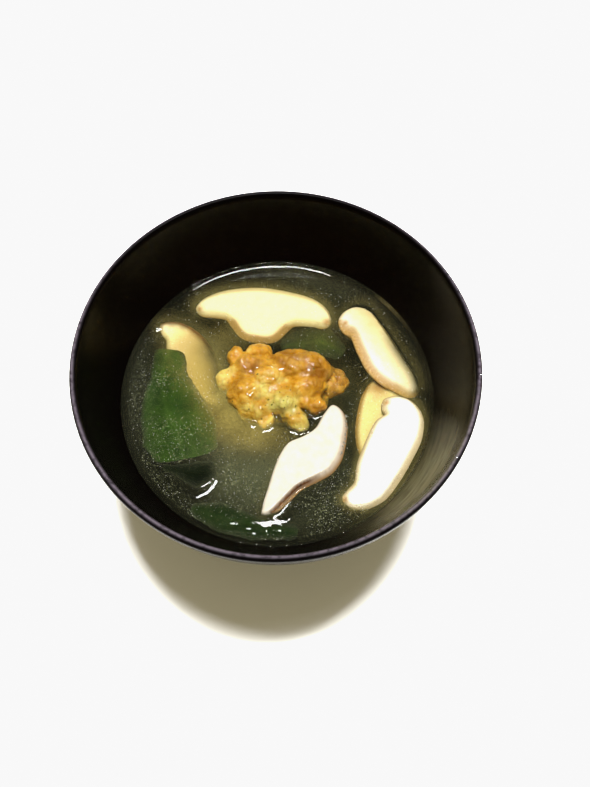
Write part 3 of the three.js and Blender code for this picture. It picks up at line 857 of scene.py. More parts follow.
def colour(name, description, code):
    return bpy.props.FloatVectorProperty(
        name=name, description=description, default=linear(code), size=4, min=0.0, max=1.0,
        subtype="COLOR",
    )


def number(name, description, default):
    return bpy.props.FloatProperty(name=name, description=description, default=default)


class BowlSettings(bpy.types.PropertyGroup):
    """Sizes and colours of the lacquer bowl."""
    sides: bpy.props.IntProperty(name="Sides", description="Steps round the turned wall", default=240)
    lacquer: colour("Lacquer", "Black lacquer with a plum cast", 0x050303)
    # Painted highlight: the pale band of lamp light on the rounded lip, where it is also worn matt.
    lip: colour("Lip sheen", "Lacquer where the lip is rubbed", 0x645c68)
    # Painted light: the colour of the glow that the bright slice throws on the inner wall.
    painted_wall_glow: colour("Wall glow", "Dried film of broth on the wall", 0x8a8560)
    murk: colour("Murk", "Colour that the sunk wall fades to", MURK)


class BrothSettings(bpy.types.PropertyGroup):
    """Sizes and colours of the broth, its specks and bubbles."""
    meniscus_rise: length("Meniscus rise", "How far the broth climbs the wall", 0.8)
    meniscus_width: length("Meniscus width", "How far from the wall it starts to climb", 1.1)
    broth: colour("Broth", "Fine particles in the clear broth", 0xb4ba94)
    starch: colour("Starch", "Starch that has come off the batter", 0xc8b460)
    # Near white: partly pale fat, partly painted glints of tiny fat droplets.
    specks: colour("Specks", "Pale specks that float in the broth", 0xf2f2e8)
    speck_small: length("Speck, small", "Radius of the smallest specks", 0.04)
    speck_large: length("Speck, large", "Radius of the largest specks", 0.12)
    speck_density: number("Speck density", "Specks on a square metre where they lie thickest", 1.3e6)


class DumplingSettings(bpy.types.PropertyGroup):
    """Sizes and colours of the fried dumpling."""
    voxel: length("Voxel", "Fineness of the joined batter", 0.3)
    crumb: length("Crumb", "Height of the small crags", 0.34)
    pale: colour("Pale batter", "Batter that never browned", 0xdccc72)
    golden: colour("Golden batter", "Lightly fried batter", 0xc68e1e)
    brown: colour("Browned batter", "Batter browned in the oil", 0x8a5406)
    herb: colour("Herb", "Green in the batter", 0x7d8a40)
    speck: colour("Dark specks", "Over-browned specks", 0x6a3208)
    fleck: colour("Flecks", "Chopped green herb", 0x38481a)
    murk: colour("Murk", "Colour that the sunk batter fades to", MURK)


class MushroomSettings(bpy.types.PropertyGroup):
    """Sizes and colours of the mushroom slices."""
    round: length("Rounding", "Rounding of the cut face's edge", 1.0)
    flesh: colour("Flesh", "Cream flesh", 0xdcd6ca)
    flesh_shade: colour("Flesh shade", "Flesh between the fibres", 0xd4ccb8)
    cream: colour("Cream", "Flesh of the yellower slices", 0xdcd2a0)
    rim_flesh: colour("Rim flesh", "Flesh near the edge, stained by the skin", 0x9a7648)
    gill: colour("Gills", "Gill folds", 0xbc9a62)
    gill_dark: colour("Gill gaps", "Between the gill folds", 0x8e6c3a)
    skin: colour("Skin", "Cap skin", 0x341a08)
    skin_light: colour("Skin, light", "Cap skin where it is thin", 0x6a3c12)
    murk: colour("Murk", "Colour that the sunk flesh fades to", MURK)


class LeafSettings(bpy.types.PropertyGroup):
    """Sizes and colours of the leaves."""
    leaf: colour("Leaf", "Boiled leaf", 0x2a420f)
    leaf_dark: colour("Leaf, dark", "Leaf where it is thick", 0x162c08)
    vein: colour("Veins", "Midrib and veins", 0x3c5420)
    murk: colour("Murk", "Colour that the sunk leaf fades to", MURK)


class StageSettings(bpy.types.PropertyGroup):
    """The floor and the light."""
    floor: colour("Floor", "Plain pale floor", 0xf4f3ee)
    lamp: number("Lamp", "Power of the ceiling lamp", 14.0)
    glint: number("Glint", "Power of the small lamp", 8.0)
    gleam: number("Gleam", "Power of the beads' lamp", 60.0)
    table: number("Table", "Power of the table's two lamps together", 75.0)
    ambient: number("Room", "Strength of the room's light", 0.46)
    white: number("White", "Where the picture's white clips", 0.94)


# ---------------------------------------------------------------- operators


class SOUP_OT_bowl(bpy.types.Operator):
    """Turns the bowl's profile round its axis"""
    bl_idname = "soup.bowl"
    bl_label = "Lacquer bowl"

    def execute(self, context):
        sizes = context.scene.soup_bowl
        foot_inside = FOOT_RADIUS - FOOT_WIDTH
        lip_round = LIP_WIDTH / 2
        foot = [(0, RECESS_HEIGHT), (foot_inside - RECESS_CHAMFER - 0.5, RECESS_HEIGHT)]
        foot += rounded((foot_inside - RECESS_CHAMFER, RECESS_HEIGHT),
                        (foot_inside, RECESS_HEIGHT - RECESS_CHAMFER))
        foot += [(foot_inside, 0.3), (foot_inside + 0.3, 0)]
        foot += [(FOOT_RADIUS - FOOT_EDGE, 0), (FOOT_RADIUS - 0.18, 0.18), (FOOT_RADIUS, FOOT_EDGE)]
        waist = FOOT_RADIUS - FOOT_WAIST
        foot += [(waist, FOOT_HEIGHT - 2 * FOOT_WAIST), (waist + 0.35, FOOT_HEIGHT - 1.0)]
        outside = wall_profile(OUTER_WALL, lip_round, BOWL_HEIGHT - FOOT_HEIGHT, OUTSIDE_STEPS)[::-1]
        turns = [0.04 + 0.92 * i / LIP_STEPS for i in range(LIP_STEPS + 1)]
        lip = [(RIM_RADIUS - lip_round + lip_round * math.cos(t * math.pi),
                BOWL_HEIGHT - lip_round + lip_round * math.sin(t * math.pi)) for t in turns]
        inside_wall = wall_profile(INNER_WALL, lip_round, INNER_DEPTH - FLOOR_ROUND, INSIDE_STEPS)
        profile = foot + outside + lip + inside_wall + [(0, BOWL_HEIGHT - INNER_DEPTH)]
        piece = line_object("lacquer_bowl", [(r, 0, z) for r, z in profile])
        screw = piece.modifiers.new("turned", "SCREW")
        screw.steps = screw.render_steps = sizes.sides
        screw.use_merge_vertices = True
        screw.merge_threshold = 1e-6
        applied(piece)
        outward(piece.data)
        dress(piece, lacquer_material(sizes))
        settled(piece, "bowl")
        return {"FINISHED"}


def wall_profile(wall, from_depth, to_depth, steps):
    """Points down a wall, closer together towards the floor, where it turns fastest."""
    depths = [from_depth + (to_depth - from_depth) * math.sin(i / steps * math.pi / 2)
              for i in range(steps + 1)]
    return [(wall_radius(wall, depth), BOWL_HEIGHT - depth) for depth in depths]


def rounded(first, last):
    """A small chamfer softened to three points."""
    middle = ((first[0] + last[0]) / 2 + 0.12, (first[1] + last[1]) / 2 + 0.12)
    return [first, middle, last]


class SOUP_OT_broth(bpy.types.Operator):
    """Fills the bowl with broth that climbs the wall and what floats in it"""
    bl_idname = "soup.broth"
    bl_label = "Broth"

    def execute(self, context):
        sizes = context.scene.soup_broth
        edge = wall_radius(INNER_WALL, SOUP_DEPTH_BELOW_RIM) + WALL_OVERLAP
        angles = np.linspace(0, 2 * math.pi, EDGE_SIDES, endpoint=False)
        circle = np.c_[np.cos(angles), np.sin(angles)]
        shares = np.arange(1, EDGE_RADIUS_STEPS + 1) / EDGE_RADIUS_STEPS
        flat = np.concatenate([circle * edge * share for share in shares])
        height = soup_height(flat, sizes) + broad_ripples(flat)
        rows = np.c_[flat, LEVEL + height]
        depths = SOUP_DEPTH_BELOW_RIM + (INNER_DEPTH - 0.2 - SOUP_DEPTH_BELOW_RIM) * np.sin(
            np.linspace(0.05, 1, 14) * math.pi / 2)
        for depth in depths:
            ring = circle * (wall_radius(INNER_WALL, depth) + WALL_OVERLAP)
            rows = np.vstack([rows, np.c_[ring, np.full(EDGE_SIDES, BOWL_HEIGHT - depth)]])
        top = [(0, 0, LEVEL + soup_height(np.zeros((1, 2)), sizes)[0])]
        points = np.vstack([top, rows, [(0, 0, BOWL_HEIGHT - INNER_DEPTH - WALL_OVERLAP)]])
        faces = ring_faces(EDGE_SIDES, EDGE_RADIUS_STEPS + len(depths))
        haze, yellow = soup_haze(points[:, :2])
        under = np.arange(len(points)) > len(flat)
        cloudy = {"haze": np.where(under, 0, haze), "yellow": yellow,
                  "speckle": np.where(under, 0, soup_specks(points[:, :2]))}
        piece = make_piece("broth_surface", points, faces, broth_material(sizes), cloudy)
        settled(piece, "broth")
        return {"FINISHED"}


def ring_faces(sides, rows):
    """Faces of stacked rings with a pole before the first ring and one after the last."""
    last = 1 + sides * rows
    faces = []
    for k in range(sides):
        after = (k + 1) % sides
        faces.append((0, 1 + k, 1 + after))
        faces.append((last, last - sides + after, last - sides + k))
        for row in range(rows - 1):
            near, far = 1 + row * sides, 1 + (row + 1) * sides
            faces.append((near + k, far + k, far + after, near + after))
    return faces


# How often the joined lobes are smoothed, which rounds the creases between them.
FILLET_STEPS = 30

# The batter's bulges: their length in mm, their share of the height, and the seed.
BULGES = ((5.0, 0.8, 15), (2.6, 0.7, 2), (1.1, 0.3, 3))


class SOUP_OT_dumpling(bpy.types.Operator):
    """Joins the dumpling's lobes, roughens the batter and colours it by how far it browned"""
    bl_idname = "soup.dumpling"
    bl_label = "Fried dumpling"

    def execute(self, context):
        sizes = context.scene.soup_dumpling
        points, faces = [], []
        for lobe in LOBES:
            ball = bmesh.new()
            bmesh.ops.create_icosphere(ball, subdivisions=4, radius=1.0)
            turn = Matrix.Rotation(math.radians(lobe[2]), 3, "Z")
            start = len(points)
            for vert in ball.verts:
                at = turn @ Vector(c * h for c, h in zip(vert.co, lobe[1]))
                local = at + Vector(lobe[0])
                away = at.normalized()
                points.append(local + away * crag(local))
            faces += [[start + v.index for v in face.verts] for face in ball.faces]
            ball.free()
        centre = np.array([DUMPLING_CENTRE[0], DUMPLING_CENTRE[1], LEVEL])
        material = batter_material(sizes)
        piece = make_piece("fried_dumpling", np.array(points) + centre, faces, material)
        remesh = piece.modifiers.new("joined", "REMESH")
        remesh.mode = "VOXEL"
        remesh.voxel_size = sizes.voxel
        smooth = piece.modifiers.new("fillets", "SMOOTH")
        smooth.iterations = FILLET_STEPS
        applied(piece)
        roughen(piece, sizes.crumb / MM)
        paint_lobes(piece)
        dress(piece, material)
        settled(piece, "dumpling")
        return {"FINISHED"}


def crag(point):
    """Low crags: three crossed waves, the same everywhere on the batter."""
    k = 2 * math.pi / CRAG_LENGTH
    x, y, z = point
    waves = (math.sin(k * (x + 0.6 * y)) + math.sin(k * (y - 0.7 * z) + 1.3)
             + math.sin(k * (z + 0.8 * x) + 2.1))
    return CRAG_HEIGHT * waves / 3


def mesh_points(mesh):
    flat = np.empty(len(mesh.vertices) * 3)
    mesh.vertices.foreach_get("co", flat)
    return flat.reshape(-1, 3)


def roughen(piece, height):
    """Folds the batter into bulges with creases between them."""
    mesh = piece.data
    points = mesh_points(mesh) / MM
    normals = np.empty(len(points) * 3)
    mesh.vertices.foreach_get("normal", normals)
    bulges = np.zeros(len(points))
    for size, share, seed in BULGES:
        bulges += share * (np.minimum(np.abs(ripple(points, size, seed)) * 3.2, 1) - 0.55)
    moved = points + normals.reshape(-1, 3) * (bulges * height)[:, None]
    mesh.vertices.foreach_set("co", (moved * MM).ravel())
    mesh.update()
    set_attribute(mesh, "crest", np.clip(0.5 + bulges / 2.4, 0, 1))


def paint_lobes(piece):
    """Blends each lobe's browning and herbs over the batter."""
    points = mesh_points(piece.data) / MM - np.array([*DUMPLING_CENTRE, LEVEL])
    total, browned, herbs = (np.full(len(points), 1e-9) for _ in range(3))
    for at, half, turn, brown, herb in LOBES:
        u, v = turned(points, turn, at)
        w = points[:, 2] - at[2]
        rho = np.sqrt((u / half[0]) ** 2 + (v / half[1]) ** 2 + (w / half[2]) ** 2)
        weight = np.exp(-np.abs(rho - 1) * min(half) * 2.2)
        total += weight
        browned += weight * brown
        herbs += weight * herb
    set_attribute(piece.data, "browned", browned / total)
    set_attribute(piece.data, "herbs", herbs / total)


# Points round a slice's outline, the grid of its faces in mm, and the rows down its side.
SLICE_SIDES = 220
GRID = 0.55
SIDE_ROWS = 8


class SOUP_OT_slices(bpy.types.Operator):
    """Cuts the mushroom slices, with skin round the cap and gills under it"""
    bl_idname = "soup.slices"
    bl_label = "Mushroom slices"

    def execute(self, context):
        sizes = context.scene.soup_mushroom
        material = mushroom_material(sizes)
        for name, item in SLICES.items():
            settled(slice_piece(name, item, sizes, material), item["node"])
        return {"FINISHED"}


def slice_piece(name, item, sizes, material):
    """A slice: a cut face above and one below, rounded to a skin-covered side."""
    count = SLICE_SIDES
    loop = slice_loop(item, count)
    low, high = loop.min(axis=0), loop.max(axis=0)
    grid = np.stack(np.meshgrid(np.arange(low[0], high[0], GRID), np.arange(low[1], high[1], GRID)), -1)
    grid = grid.reshape(-1, 2)
    grid = grid[inside(grid, loop)]
    grid = grid[distance_to(grid, loop, True) > 0.35 * GRID]
    flat = [Vector(p) for p in np.vstack([loop, grid])]
    made = geometry.delaunay_2d_cdt(flat, [], [list(range(count))], 1, 1e-5)
    face_xy = np.array([tuple(v) for v in made[0]])
    index = {old: new for new, olds in enumerate(made[3]) for old in olds}
    border = [index[i] for i in range(count)]
    edge_distance = distance_to(face_xy, loop, True)
    radius = sizes.round / MM
    drop = np.maximum(radius - edge_distance, 0)
    rounding = radius - np.sqrt(np.maximum(radius ** 2 - drop ** 2, 0))
    middle = np.array([0, item["skin"][len(item["skin"]) // 2][1] / 2])
    lean = np.array([0, item["lean"]])
    lumps = 0.12 * ripple(face_xy, 4.0, 5)
    lumps *= np.clip(edge_distance / 2, 0, 1)
    top = np.c_[face_xy, lumps - rounding]
    under_xy = (face_xy - middle) * UNDERSIDE_SHARE + middle - lean
    under = np.c_[under_xy, rounding - item["thick"] + lumps]
    outline = face_xy[border]
    swell = slice_flare(item, outline)[:, None] * loop_normals(outline)
    rows = []
    for k in range(1, SIDE_ROWS):
        share = k / SIDE_ROWS
        scale = 1 + (UNDERSIDE_SHARE - 1) * share
        belly = math.sin(share ** 0.55 * math.pi)
        xy = (outline - middle) * scale + middle - lean * share + swell * belly
        depth = radius + (item["thick"] - 2 * radius) * share
        rows.append(np.c_[xy, np.full(count, -depth)])
    local = np.vstack([top, under, *rows])
    n = len(top)
    faces = [tuple(f) for f in made[2]] + [tuple(v + n for v in reversed(f)) for f in made[2]]
    rings = [border] + [list(range(2 * n + k * count, 2 * n + (k + 1) * count))
                        for k in range(SIDE_ROWS - 1)] + [[v + n for v in border]]
    for upper, lower in zip(rings, rings[1:]):
        faces += [(upper[i], lower[i], lower[(i + 1) % count], upper[(i + 1) % count])
                  for i in range(count)]
    shares = np.concatenate([np.zeros(n), np.ones(n), np.repeat(np.arange(1, SIDE_ROWS) / SIDE_ROWS, count)])
    attributes = slice_paint(item, local, shares)
    points = placed(slice_matrix(item), local)
    return make_piece(name, points, faces, material, attributes)


def loop_normals(outline):
    along = np.roll(outline, -1, axis=0) - np.roll(outline, 1, axis=0)
    along /= np.linalg.norm(along, axis=1)[:, None]
    return np.c_[-along[:, 1], along[:, 0]]


def slice_lines(item):
    """The skin's and the gills' part of the outline."""
    curve = spline(item["skin"] + item["gills"], True)
    last = (len(item["skin"]) - 1) * SPAN_POINTS
    return curve[:last], curve[last:]


def slice_flare(item, outline):
    """How far the side swells past each outline point: more in the middle of the skin or the gills."""
    skin_line, gill_line = slice_lines(item)
    on_skin = distance_to(outline, skin_line, False) < distance_to(outline, gill_line, False)
    reach = np.abs(outline[:, 0]).max()
    ends = 1 - 0.5 * (np.abs(outline[:, 0]) / reach) ** 4
    flare = np.where(on_skin, item["flare"][0], item["flare"][1]) * ends
    for _ in range(12):
        flare = (flare + np.roll(flare, 1) + np.roll(flare, -1)) / 3
    return flare


def slice_paint(item, local, shares):
    """How much skin, gill and stained edge each point shows, and how far it is lost in the broth."""
    skin_line, gill_line = slice_lines(item)
    xy = local[:, :2]
    to_skin = distance_to(xy, skin_line, False)
    to_gills = distance_to(xy, gill_line, False)
    wobble = 1 + 0.5 * ripple(xy, 3.0, 6)
    side = (shares > 0) & (shares < 1)
    on_skin = to_skin < to_gills
    skin_tan, gill_tan, below = item["tan"]
    tanned = np.where(on_skin, skin_tan, gill_tan / (1 + np.exp(np.clip((xy[:, 1] - below) * 3, -9, 9))))
    down = np.clip(shares / 0.55, 0, 1) ** 1.3
    wide, start = item["skin_band"]
    band = np.exp(-(to_skin / (max(wide, 1e-3) * wobble)) ** 2) * np.clip((xy[:, 0] - start) / 4, 0, 1)
    skin = np.where(side, np.maximum(down, band) * on_skin, band) * item["dark"]
    gill = np.where(side & ~on_skin, tanned, 0)
    stained = tanned / (1 + np.exp((to_gills - item["gill_band"] * wobble) * 4))
    rimmed = 0.5 * skin_tan * np.exp(-(to_skin / (0.8 * wobble)) ** 2)
    edge = np.maximum(np.where(on_skin, 0, stained), rimmed)
    share, start = item["stain"]
    edge = np.maximum(edge, share * np.clip((xy[:, 0] - start) / 6, 0, 1))
    for x, y, size in item["curls"]:
        edge = np.maximum(edge, np.exp(-(np.hypot(xy[:, 0] - x, xy[:, 1] - y) / (size * wobble)) ** 2))
    edge = np.where(side, np.maximum(edge, tanned), edge)
    reach = np.where(on_skin, item["fade"][0], item["fade"][1] * (0.35 + 0.65 * tanned))
    wide, start = item["soft"]
    rim = np.exp(-(to_skin / wide) ** 2) * np.clip((xy[:, 0] - start) / 8, 0, 1) if wide else 0 * to_skin
    lost = np.where(side, np.maximum(rim, np.clip(shares / reach, 0, 1) ** 1.2), rim)
    cream = np.full(len(local), item["cream"])
    return {"skin": skin, "gill": gill, "edge": edge, "cream": cream, "lost": lost * 0.9}


class SOUP_OT_leaves(bpy.types.Operator):
    """Lays the wavy leaves in the broth"""
    bl_idname = "soup.leaves"
    bl_label = "Leaves"

    def execute(self, context):
        material = leaf_material(context.scene.soup_leaf)
        for name, item in LEAVES.items():
            settled(leaf_piece(name, item, material), item["node"])
        return {"FINISHED"}


def leaf_height(item, x, y, fine=True):
    """The leaf's middle over the level, with or without its fine crinkles."""
    k = 2 * math.pi / item["wave"]
    waves = np.sin(k * x + item["phase"]) * 0.6 + np.sin(k * (0.7 * y + 0.3 * x) - item["phase"]) * 0.4
    crinkles = ripple(np.c_[x, y], 2.6, 9)
    return -item["drop"] + waves * item["rise"] + crinkles * item["crinkle"] * fine


def leaf_frame(item, shares):
    """The leaf's middle line, its direction and its reach to both sides at each share of its length."""
    spine = spline(item["spine"], False)
    middle = np.stack([np.interp(shares, np.linspace(0, 1, len(spine)), spine[:, k]) for k in (0, 1)], 1)
    along = np.gradient(middle, axis=0)
    along /= np.linalg.norm(along, axis=1)[:, None]
    stations = np.linspace(0, 1, len(item["left"]))
    left, right = np.interp(shares, stations, item["left"]), np.interp(shares, stations, item["right"])
    ends = np.clip(np.minimum(shares, 1 - shares) / 0.06, 0, 1)
    rounding = 0.55 + 0.45 * np.sqrt(1 - (1 - ends) ** 2)
    return middle, along, left * rounding, right * rounding


def leaf_edges(item, shares):
    middle, along, left, right = leaf_frame(item, shares)
    across = np.c_[-along[:, 1], along[:, 0]]
    return middle + across * left[:, None], middle - across * right[:, None]


# Cells along a leaf and across it.
LONG_CELLS, WIDE_CELLS = 110, 64


def leaf_piece(name, item, material):
    """A leaf: a fine wavy grid with a crinkled edge, midrib and side veins, closed round its edge."""
    long_cells, wide_cells = LONG_CELLS, WIDE_CELLS
    shares = np.linspace(0, 1, long_cells + 1)
    middle, along, left, right = leaf_frame(item, shares)
    crinkle = 0.35 * ripple(np.c_[shares * 60, shares * 0], 2.2, 8)
    across = np.linspace(0, 1, wide_cells + 1)
    reach = left[:, None] * (1 - across) - right[:, None] * across
    reach += (across - 0.5) * -2 * crinkle[:, None]
    x = middle[:, :1] - along[:, 1:] * reach
    y = middle[:, 1:] + along[:, :1] * reach
    flat = np.c_[x.ravel(), y.ravel()]
    vein = leaf_veins(shares, reach).ravel()
    height = LEVEL + leaf_height(item, flat[:, 0], flat[:, 1]) - 0.06 * vein
    half = LEAF_THICKNESS / 2 * 0.8
    columns, rows = wide_cells + 1, long_cells + 1
    n = rows * columns
    points = np.vstack([np.c_[flat, height + half], np.c_[flat, height - half]])
    faces = []
    for row in range(long_cells):
        for column in range(wide_cells):
            a = row * columns + column
            b, c, d = a + 1, a + columns + 1, a + columns
            faces += [(a, b, c, d), (n + a, n + d, n + c, n + b)]
    edge = list(range(wide_cells)) + [r * columns + wide_cells for r in range(long_cells)]
    edge += [long_cells * columns + c for c in range(wide_cells, 0, -1)]
    edge += [r * columns for r in range(long_cells, 0, -1)]
    for start, end in zip(edge, edge[1:] + edge[:1]):
        faces.append((start, n + start, n + end, end))
    rim = np.minimum(left[:, None] - reach, reach + right[:, None]).ravel()
    paint = {"vein": np.tile(vein, 2), "tone": np.full(2 * n, item["tone"]),
             "lost": np.tile(0.8 * np.exp(-(np.maximum(rim, 0) / item["soft"]) ** 2), 2)}
    return make_piece(name, points, faces, material, paint)


def leaf_veins(shares, reach):
    """1 on the midrib and on side veins that leave it at a slant."""
    rib = np.exp(-(reach / 0.7) ** 2)
    slant = shares[:, None] * 7 - np.abs(reach) * 0.09
    side = np.exp(-((slant - np.round(slant)) / 0.05) ** 2) * np.exp(-np.abs(reach) / 9)
    return np.maximum(rib, 0.7 * side)


# ---------------------------------------------------------------- geometry nodes


def new_tree(name, *labels):
    """A geometry node tree with the named numbers and a material as inputs; returns it, the sockets
    of its input node and their identifiers."""
    tree = bpy.data.node_groups.new(name, "GeometryNodeTree")
    face = tree.interface
    for way in ("OUTPUT", "INPUT"):
        face.new_socket("Geometry", in_out=way, socket_type="NodeSocketGeometry")
    kinds = {**dict.fromkeys(labels, "NodeSocketFloat"), "Material": "NodeSocketMaterial"}
    keys = {label: face.new_socket(label, in_out="INPUT", socket_type=kind).identifier
            for label, kind in kinds.items()}
    return tree, tree.nodes.new("NodeGroupInput").outputs, keys


def close_tree(tree, given, shape):
    """Ends a tree: the instances become real mesh and take the material."""
    real = add(tree, "GeometryNodeRealizeInstances", {0: shape}).outputs[0]
    dressed = add(tree, "GeometryNodeSetMaterial", {"Geometry": real, "Material": given["Material"]})
    tree.links.new(dressed.outputs[0], tree.nodes.new("NodeGroupOutput").inputs[0])


def grown(name, source, tree_and_keys, values):
    """Runs a tree on a source object, turns the result into a plain mesh and removes the source."""
    tree, keys = tree_and_keys
    modifier = source.modifiers.new(name, "NODES")
    modifier.node_group = tree
    for label, value in values.items():
        modifier[keys[label]] = value
    mesh = evaluated(source)
    mesh.name = name
    bpy.data.objects.remove(source)
    return add_object(name, mesh)


def random_value(tree, low, high, seed, kind="FLOAT"):
    first, result = (0, 0) if kind == "FLOAT_VECTOR" else (2, 1)
    inputs = {first: low, first + 1: high, "Seed": seed}
    return add(tree, "FunctionNodeRandomValue", inputs, data_type=kind).outputs[result]


def stored(tree, name):
    """The number that the source's points hold under a name."""
    return add(tree, "GeometryNodeInputNamedAttribute", {"Name": name}, data_type="FLOAT").outputs[0]


def scattered(tree, given, label, seed):
    """Points on the source, as thick as Density where the stored number is 1."""
    density = times(tree, stored(tree, label), given["Density"])
    return add(tree, "GeometryNodeDistributePointsOnFaces", {
        "Mesh": given[0], "Density": density, "Seed": seed}).outputs


def instanced(tree, points, shape, scale, **more):
    """The shape on every point."""
    return add(tree, "GeometryNodeInstanceOnPoints", {
        "Points": points, "Instance": shape, "Scale": scale, **more}).outputs[0]


def speck_tree():
    """Scatters tiny eight-sided specks over a surface where its speckle attribute is high."""
    tree, given, keys = new_tree("scattered specks", "Density", "Small", "Large", "Lift")
    points = scattered(tree, given, "speckle", 11)[0]
    ball = add(tree, "GeometryNodeMeshUVSphere", {"Segments": 4, "Rings": 2, "Radius": 1.0}).outputs[0]
    mostly_small = math_node(tree, "POWER", random_value(tree, 0.0, 1.0, 3), 2.5)
    size = add(tree, "ShaderNodeMapRange", {
        "Value": mostly_small, "To Min": given["Small"], "To Max": given["Large"]}).outputs[0]
    offset = add(tree, "ShaderNodeCombineXYZ", {2: given["Lift"]}).outputs[0]
    moved = add(tree, "GeometryNodeTranslateInstances", {
        "Instances": instanced(tree, points, ball, size), "Translation": offset, "Local Space": False})
    close_tree(tree, given, moved.outputs[0])
    return tree, keys


# The section of a bead: as wide as its radius says, but low.
BEAD_SECTION = (1.0, 0.4, 1.0)


def bead_tree():
    """Lays a low round bead along each line, thinner at both ends."""
    tree, given, keys = new_tree("beads of broth")
    curve = add(tree, "GeometryNodeMeshToCurve", {0: given[0]}).outputs[0]
    fine = add(tree, "GeometryNodeResampleCurve", {"Curve": curve, "Count": 40}).outputs[0]
    share = add(tree, "GeometryNodeSplineParameter").outputs["Factor"]
    wave = math_node(tree, "SINE", times(tree, share, math.pi))
    radius = times(tree, math_node(tree, "POWER", wave, 0.5), stored(tree, "thick"))
    upright = add(tree, "GeometryNodeSetCurveNormal", {"Curve": fine}, mode="Z_UP").outputs[0]
    circle = add(tree, "GeometryNodeCurvePrimitiveCircle", {"Resolution": 16, "Radius": 1.0})
    section = add(tree, "GeometryNodeTransform", {"Geometry": circle.outputs[0], "Scale": BEAD_SECTION})
    tube = add(tree, "GeometryNodeCurveToMesh", {
        "Curve": upright, "Profile Curve": section.outputs[0], "Scale": radius, "Fill Caps": True})
    smooth = add(tree, "GeometryNodeSetShadeSmooth", {0: tube.outputs[0]}).outputs[0]
    close_tree(tree, given, smooth)
    return tree, keys


def bubble_tree():
    """Strings small round bubbles along a path."""
    tree, given, keys = new_tree("bubbles along an edge", "Spacing", "Small", "Large", "Stray")
    curve = add(tree, "GeometryNodeMeshToCurve", {0: given[0]}).outputs[0]
    points = add(tree, "GeometryNodeCurveToPoints", {
        "Curve": curve, "Length": given["Spacing"]}, mode="LENGTH").outputs[0]
    sideways = [random_value(tree, -1.0, 1.0, seed) for seed in (21, 22)]
    stray = add(tree, "ShaderNodeCombineXYZ", dict(enumerate(sideways))).outputs[0]
    stray = vector_node(tree, "SCALE", stray, given["Stray"])
    moved = add(tree, "GeometryNodeSetPosition", {"Geometry": points, "Offset": stray}).outputs[0]
    ball = add(tree, "GeometryNodeMeshIcoSphere", {"Radius": 1.0, "Subdivisions": 2}).outputs[0]
    smooth = add(tree, "GeometryNodeSetShadeSmooth", {0: ball}).outputs[0]
    size = random_value(tree, given["Small"], given["Large"], 23)
    close_tree(tree, given, instanced(tree, moved, smooth, size))
    return tree, keys


def fleck_tree():
    """Lays small flat six-sided flecks on a surface where its herbs attribute is high."""
    tree, given, keys = new_tree("herb flecks", "Density", "Small", "Large")
    points = scattered(tree, given, "herbs", 31)
    fleck = add(tree, "GeometryNodeMeshCylinder", {
        "Vertices": 6, "Side Segments": 1, "Fill Segments": 1, "Radius": 1.0, "Depth": 0.5}).outputs[0]
    size = random_value(tree, given["Small"], given["Large"], 32)
    shape = random_value(tree, (0.5, 0.8, 0.4), (1.0, 1.6, 0.7), 33, "FLOAT_VECTOR")
    scale = vector_node(tree, "SCALE", shape, size)
    close_tree(tree, given, instanced(tree, points[0], fleck, scale, Rotation=points["Rotation"]))
    return tree, keys


def copy_of(name):
    """A copy of a piece for a node tree to cover."""
    source = bpy.data.objects[name].copy()
    source.data = source.data.copy()
    bpy.context.collection.objects.link(source)
    return source


# How far the specks stand over the broth, in mm.
SPECK_LIFT = 0.03


class SOUP_OT_specks(bpy.types.Operator):
    """Scatters the fine pale specks that float on the broth, near white also as painted glints of tiny fat
    droplets
    """
    bl_idname = "soup.specks"
    bl_label = "Specks in the broth"

    def execute(self, context):
        sizes = context.scene.soup_broth
        material = small_material("pale fat specks", tuple(sizes.specks), 0.5)
        piece = grown("broth_specks", copy_of("broth_surface"), speck_tree(), {
            "Density": sizes.speck_density, "Small": sizes.speck_small, "Large": sizes.speck_large,
            "Lift": SPECK_LIFT * MM, "Material": material})
        settled(piece)
        return {"FINISHED"}


def landed(piece, x, y):
    """The point straight below x, y on a piece, in mm."""
    hit, at, normal, face = piece.ray_cast((x * MM, y * MM, 0.08), (0, 0, -1))
    if not hit:
        raise RuntimeError(f"a bead's line leaves {piece.name}")
    return np.array(at) / MM


def smoothed(points):
    for _ in range(6):
        for i in range(1, len(points) - 1):
            points[i] = (points[i - 1] + 2 * points[i] + points[i + 1]) / 4
    return points


# Points along a bead's line.
BEAD_POINTS = 24


class SOUP_OT_beads(bpy.types.Operator):
    """Lays beads of broth in the dumpling's creases and on the bowl's lip"""
    bl_idname = "soup.beads"
    bl_label = "Beads of broth"

    def execute(self, context):
        points, edges, thick = [], [], []
        for name, beads in BEADS.items():
            for line, radius in beads:
                start = len(points)
                path = even(spline(line, False), BEAD_POINTS, False)
                points += smoothed([landed(bpy.data.objects[name], x, y) for x, y in path])
                edges += [(i, i + 1) for i in range(start, len(points) - 1)]
                thick += [radius * MM] * len(path)
        source = line_object("bead_source", points, edges)
        set_attribute(source.data, "thick", thick)
        piece = grown("broth_beads", source, bead_tree(), {"Material": bead_material()})
        outward(piece.data)
        settled(piece)
        gleam = add_lamp(context.scene, "gleam_lamp", GLEAM_SIZE, GLINT_TILT, context.scene.soup_stage.gleam)
        gleam.light_linking.receiver_collection = bpy.data.collections.new("lit by the gleam lamp")
        gleam.light_linking.receiver_collection.objects.link(piece)
        return {"FINISHED"}


# The stretch of the front slice's outline that bubbles cling to, how far they lie to its right and
# over the level, and their sizes in mm.
BUBBLE_STRETCH = (12, 45)
BUBBLE_SHIFT, BUBBLE_LIFT = 0.5, 0.2
BUBBLES = {"Spacing": 0.75, "Small": 0.16, "Large": 0.4, "Stray": 0.35}


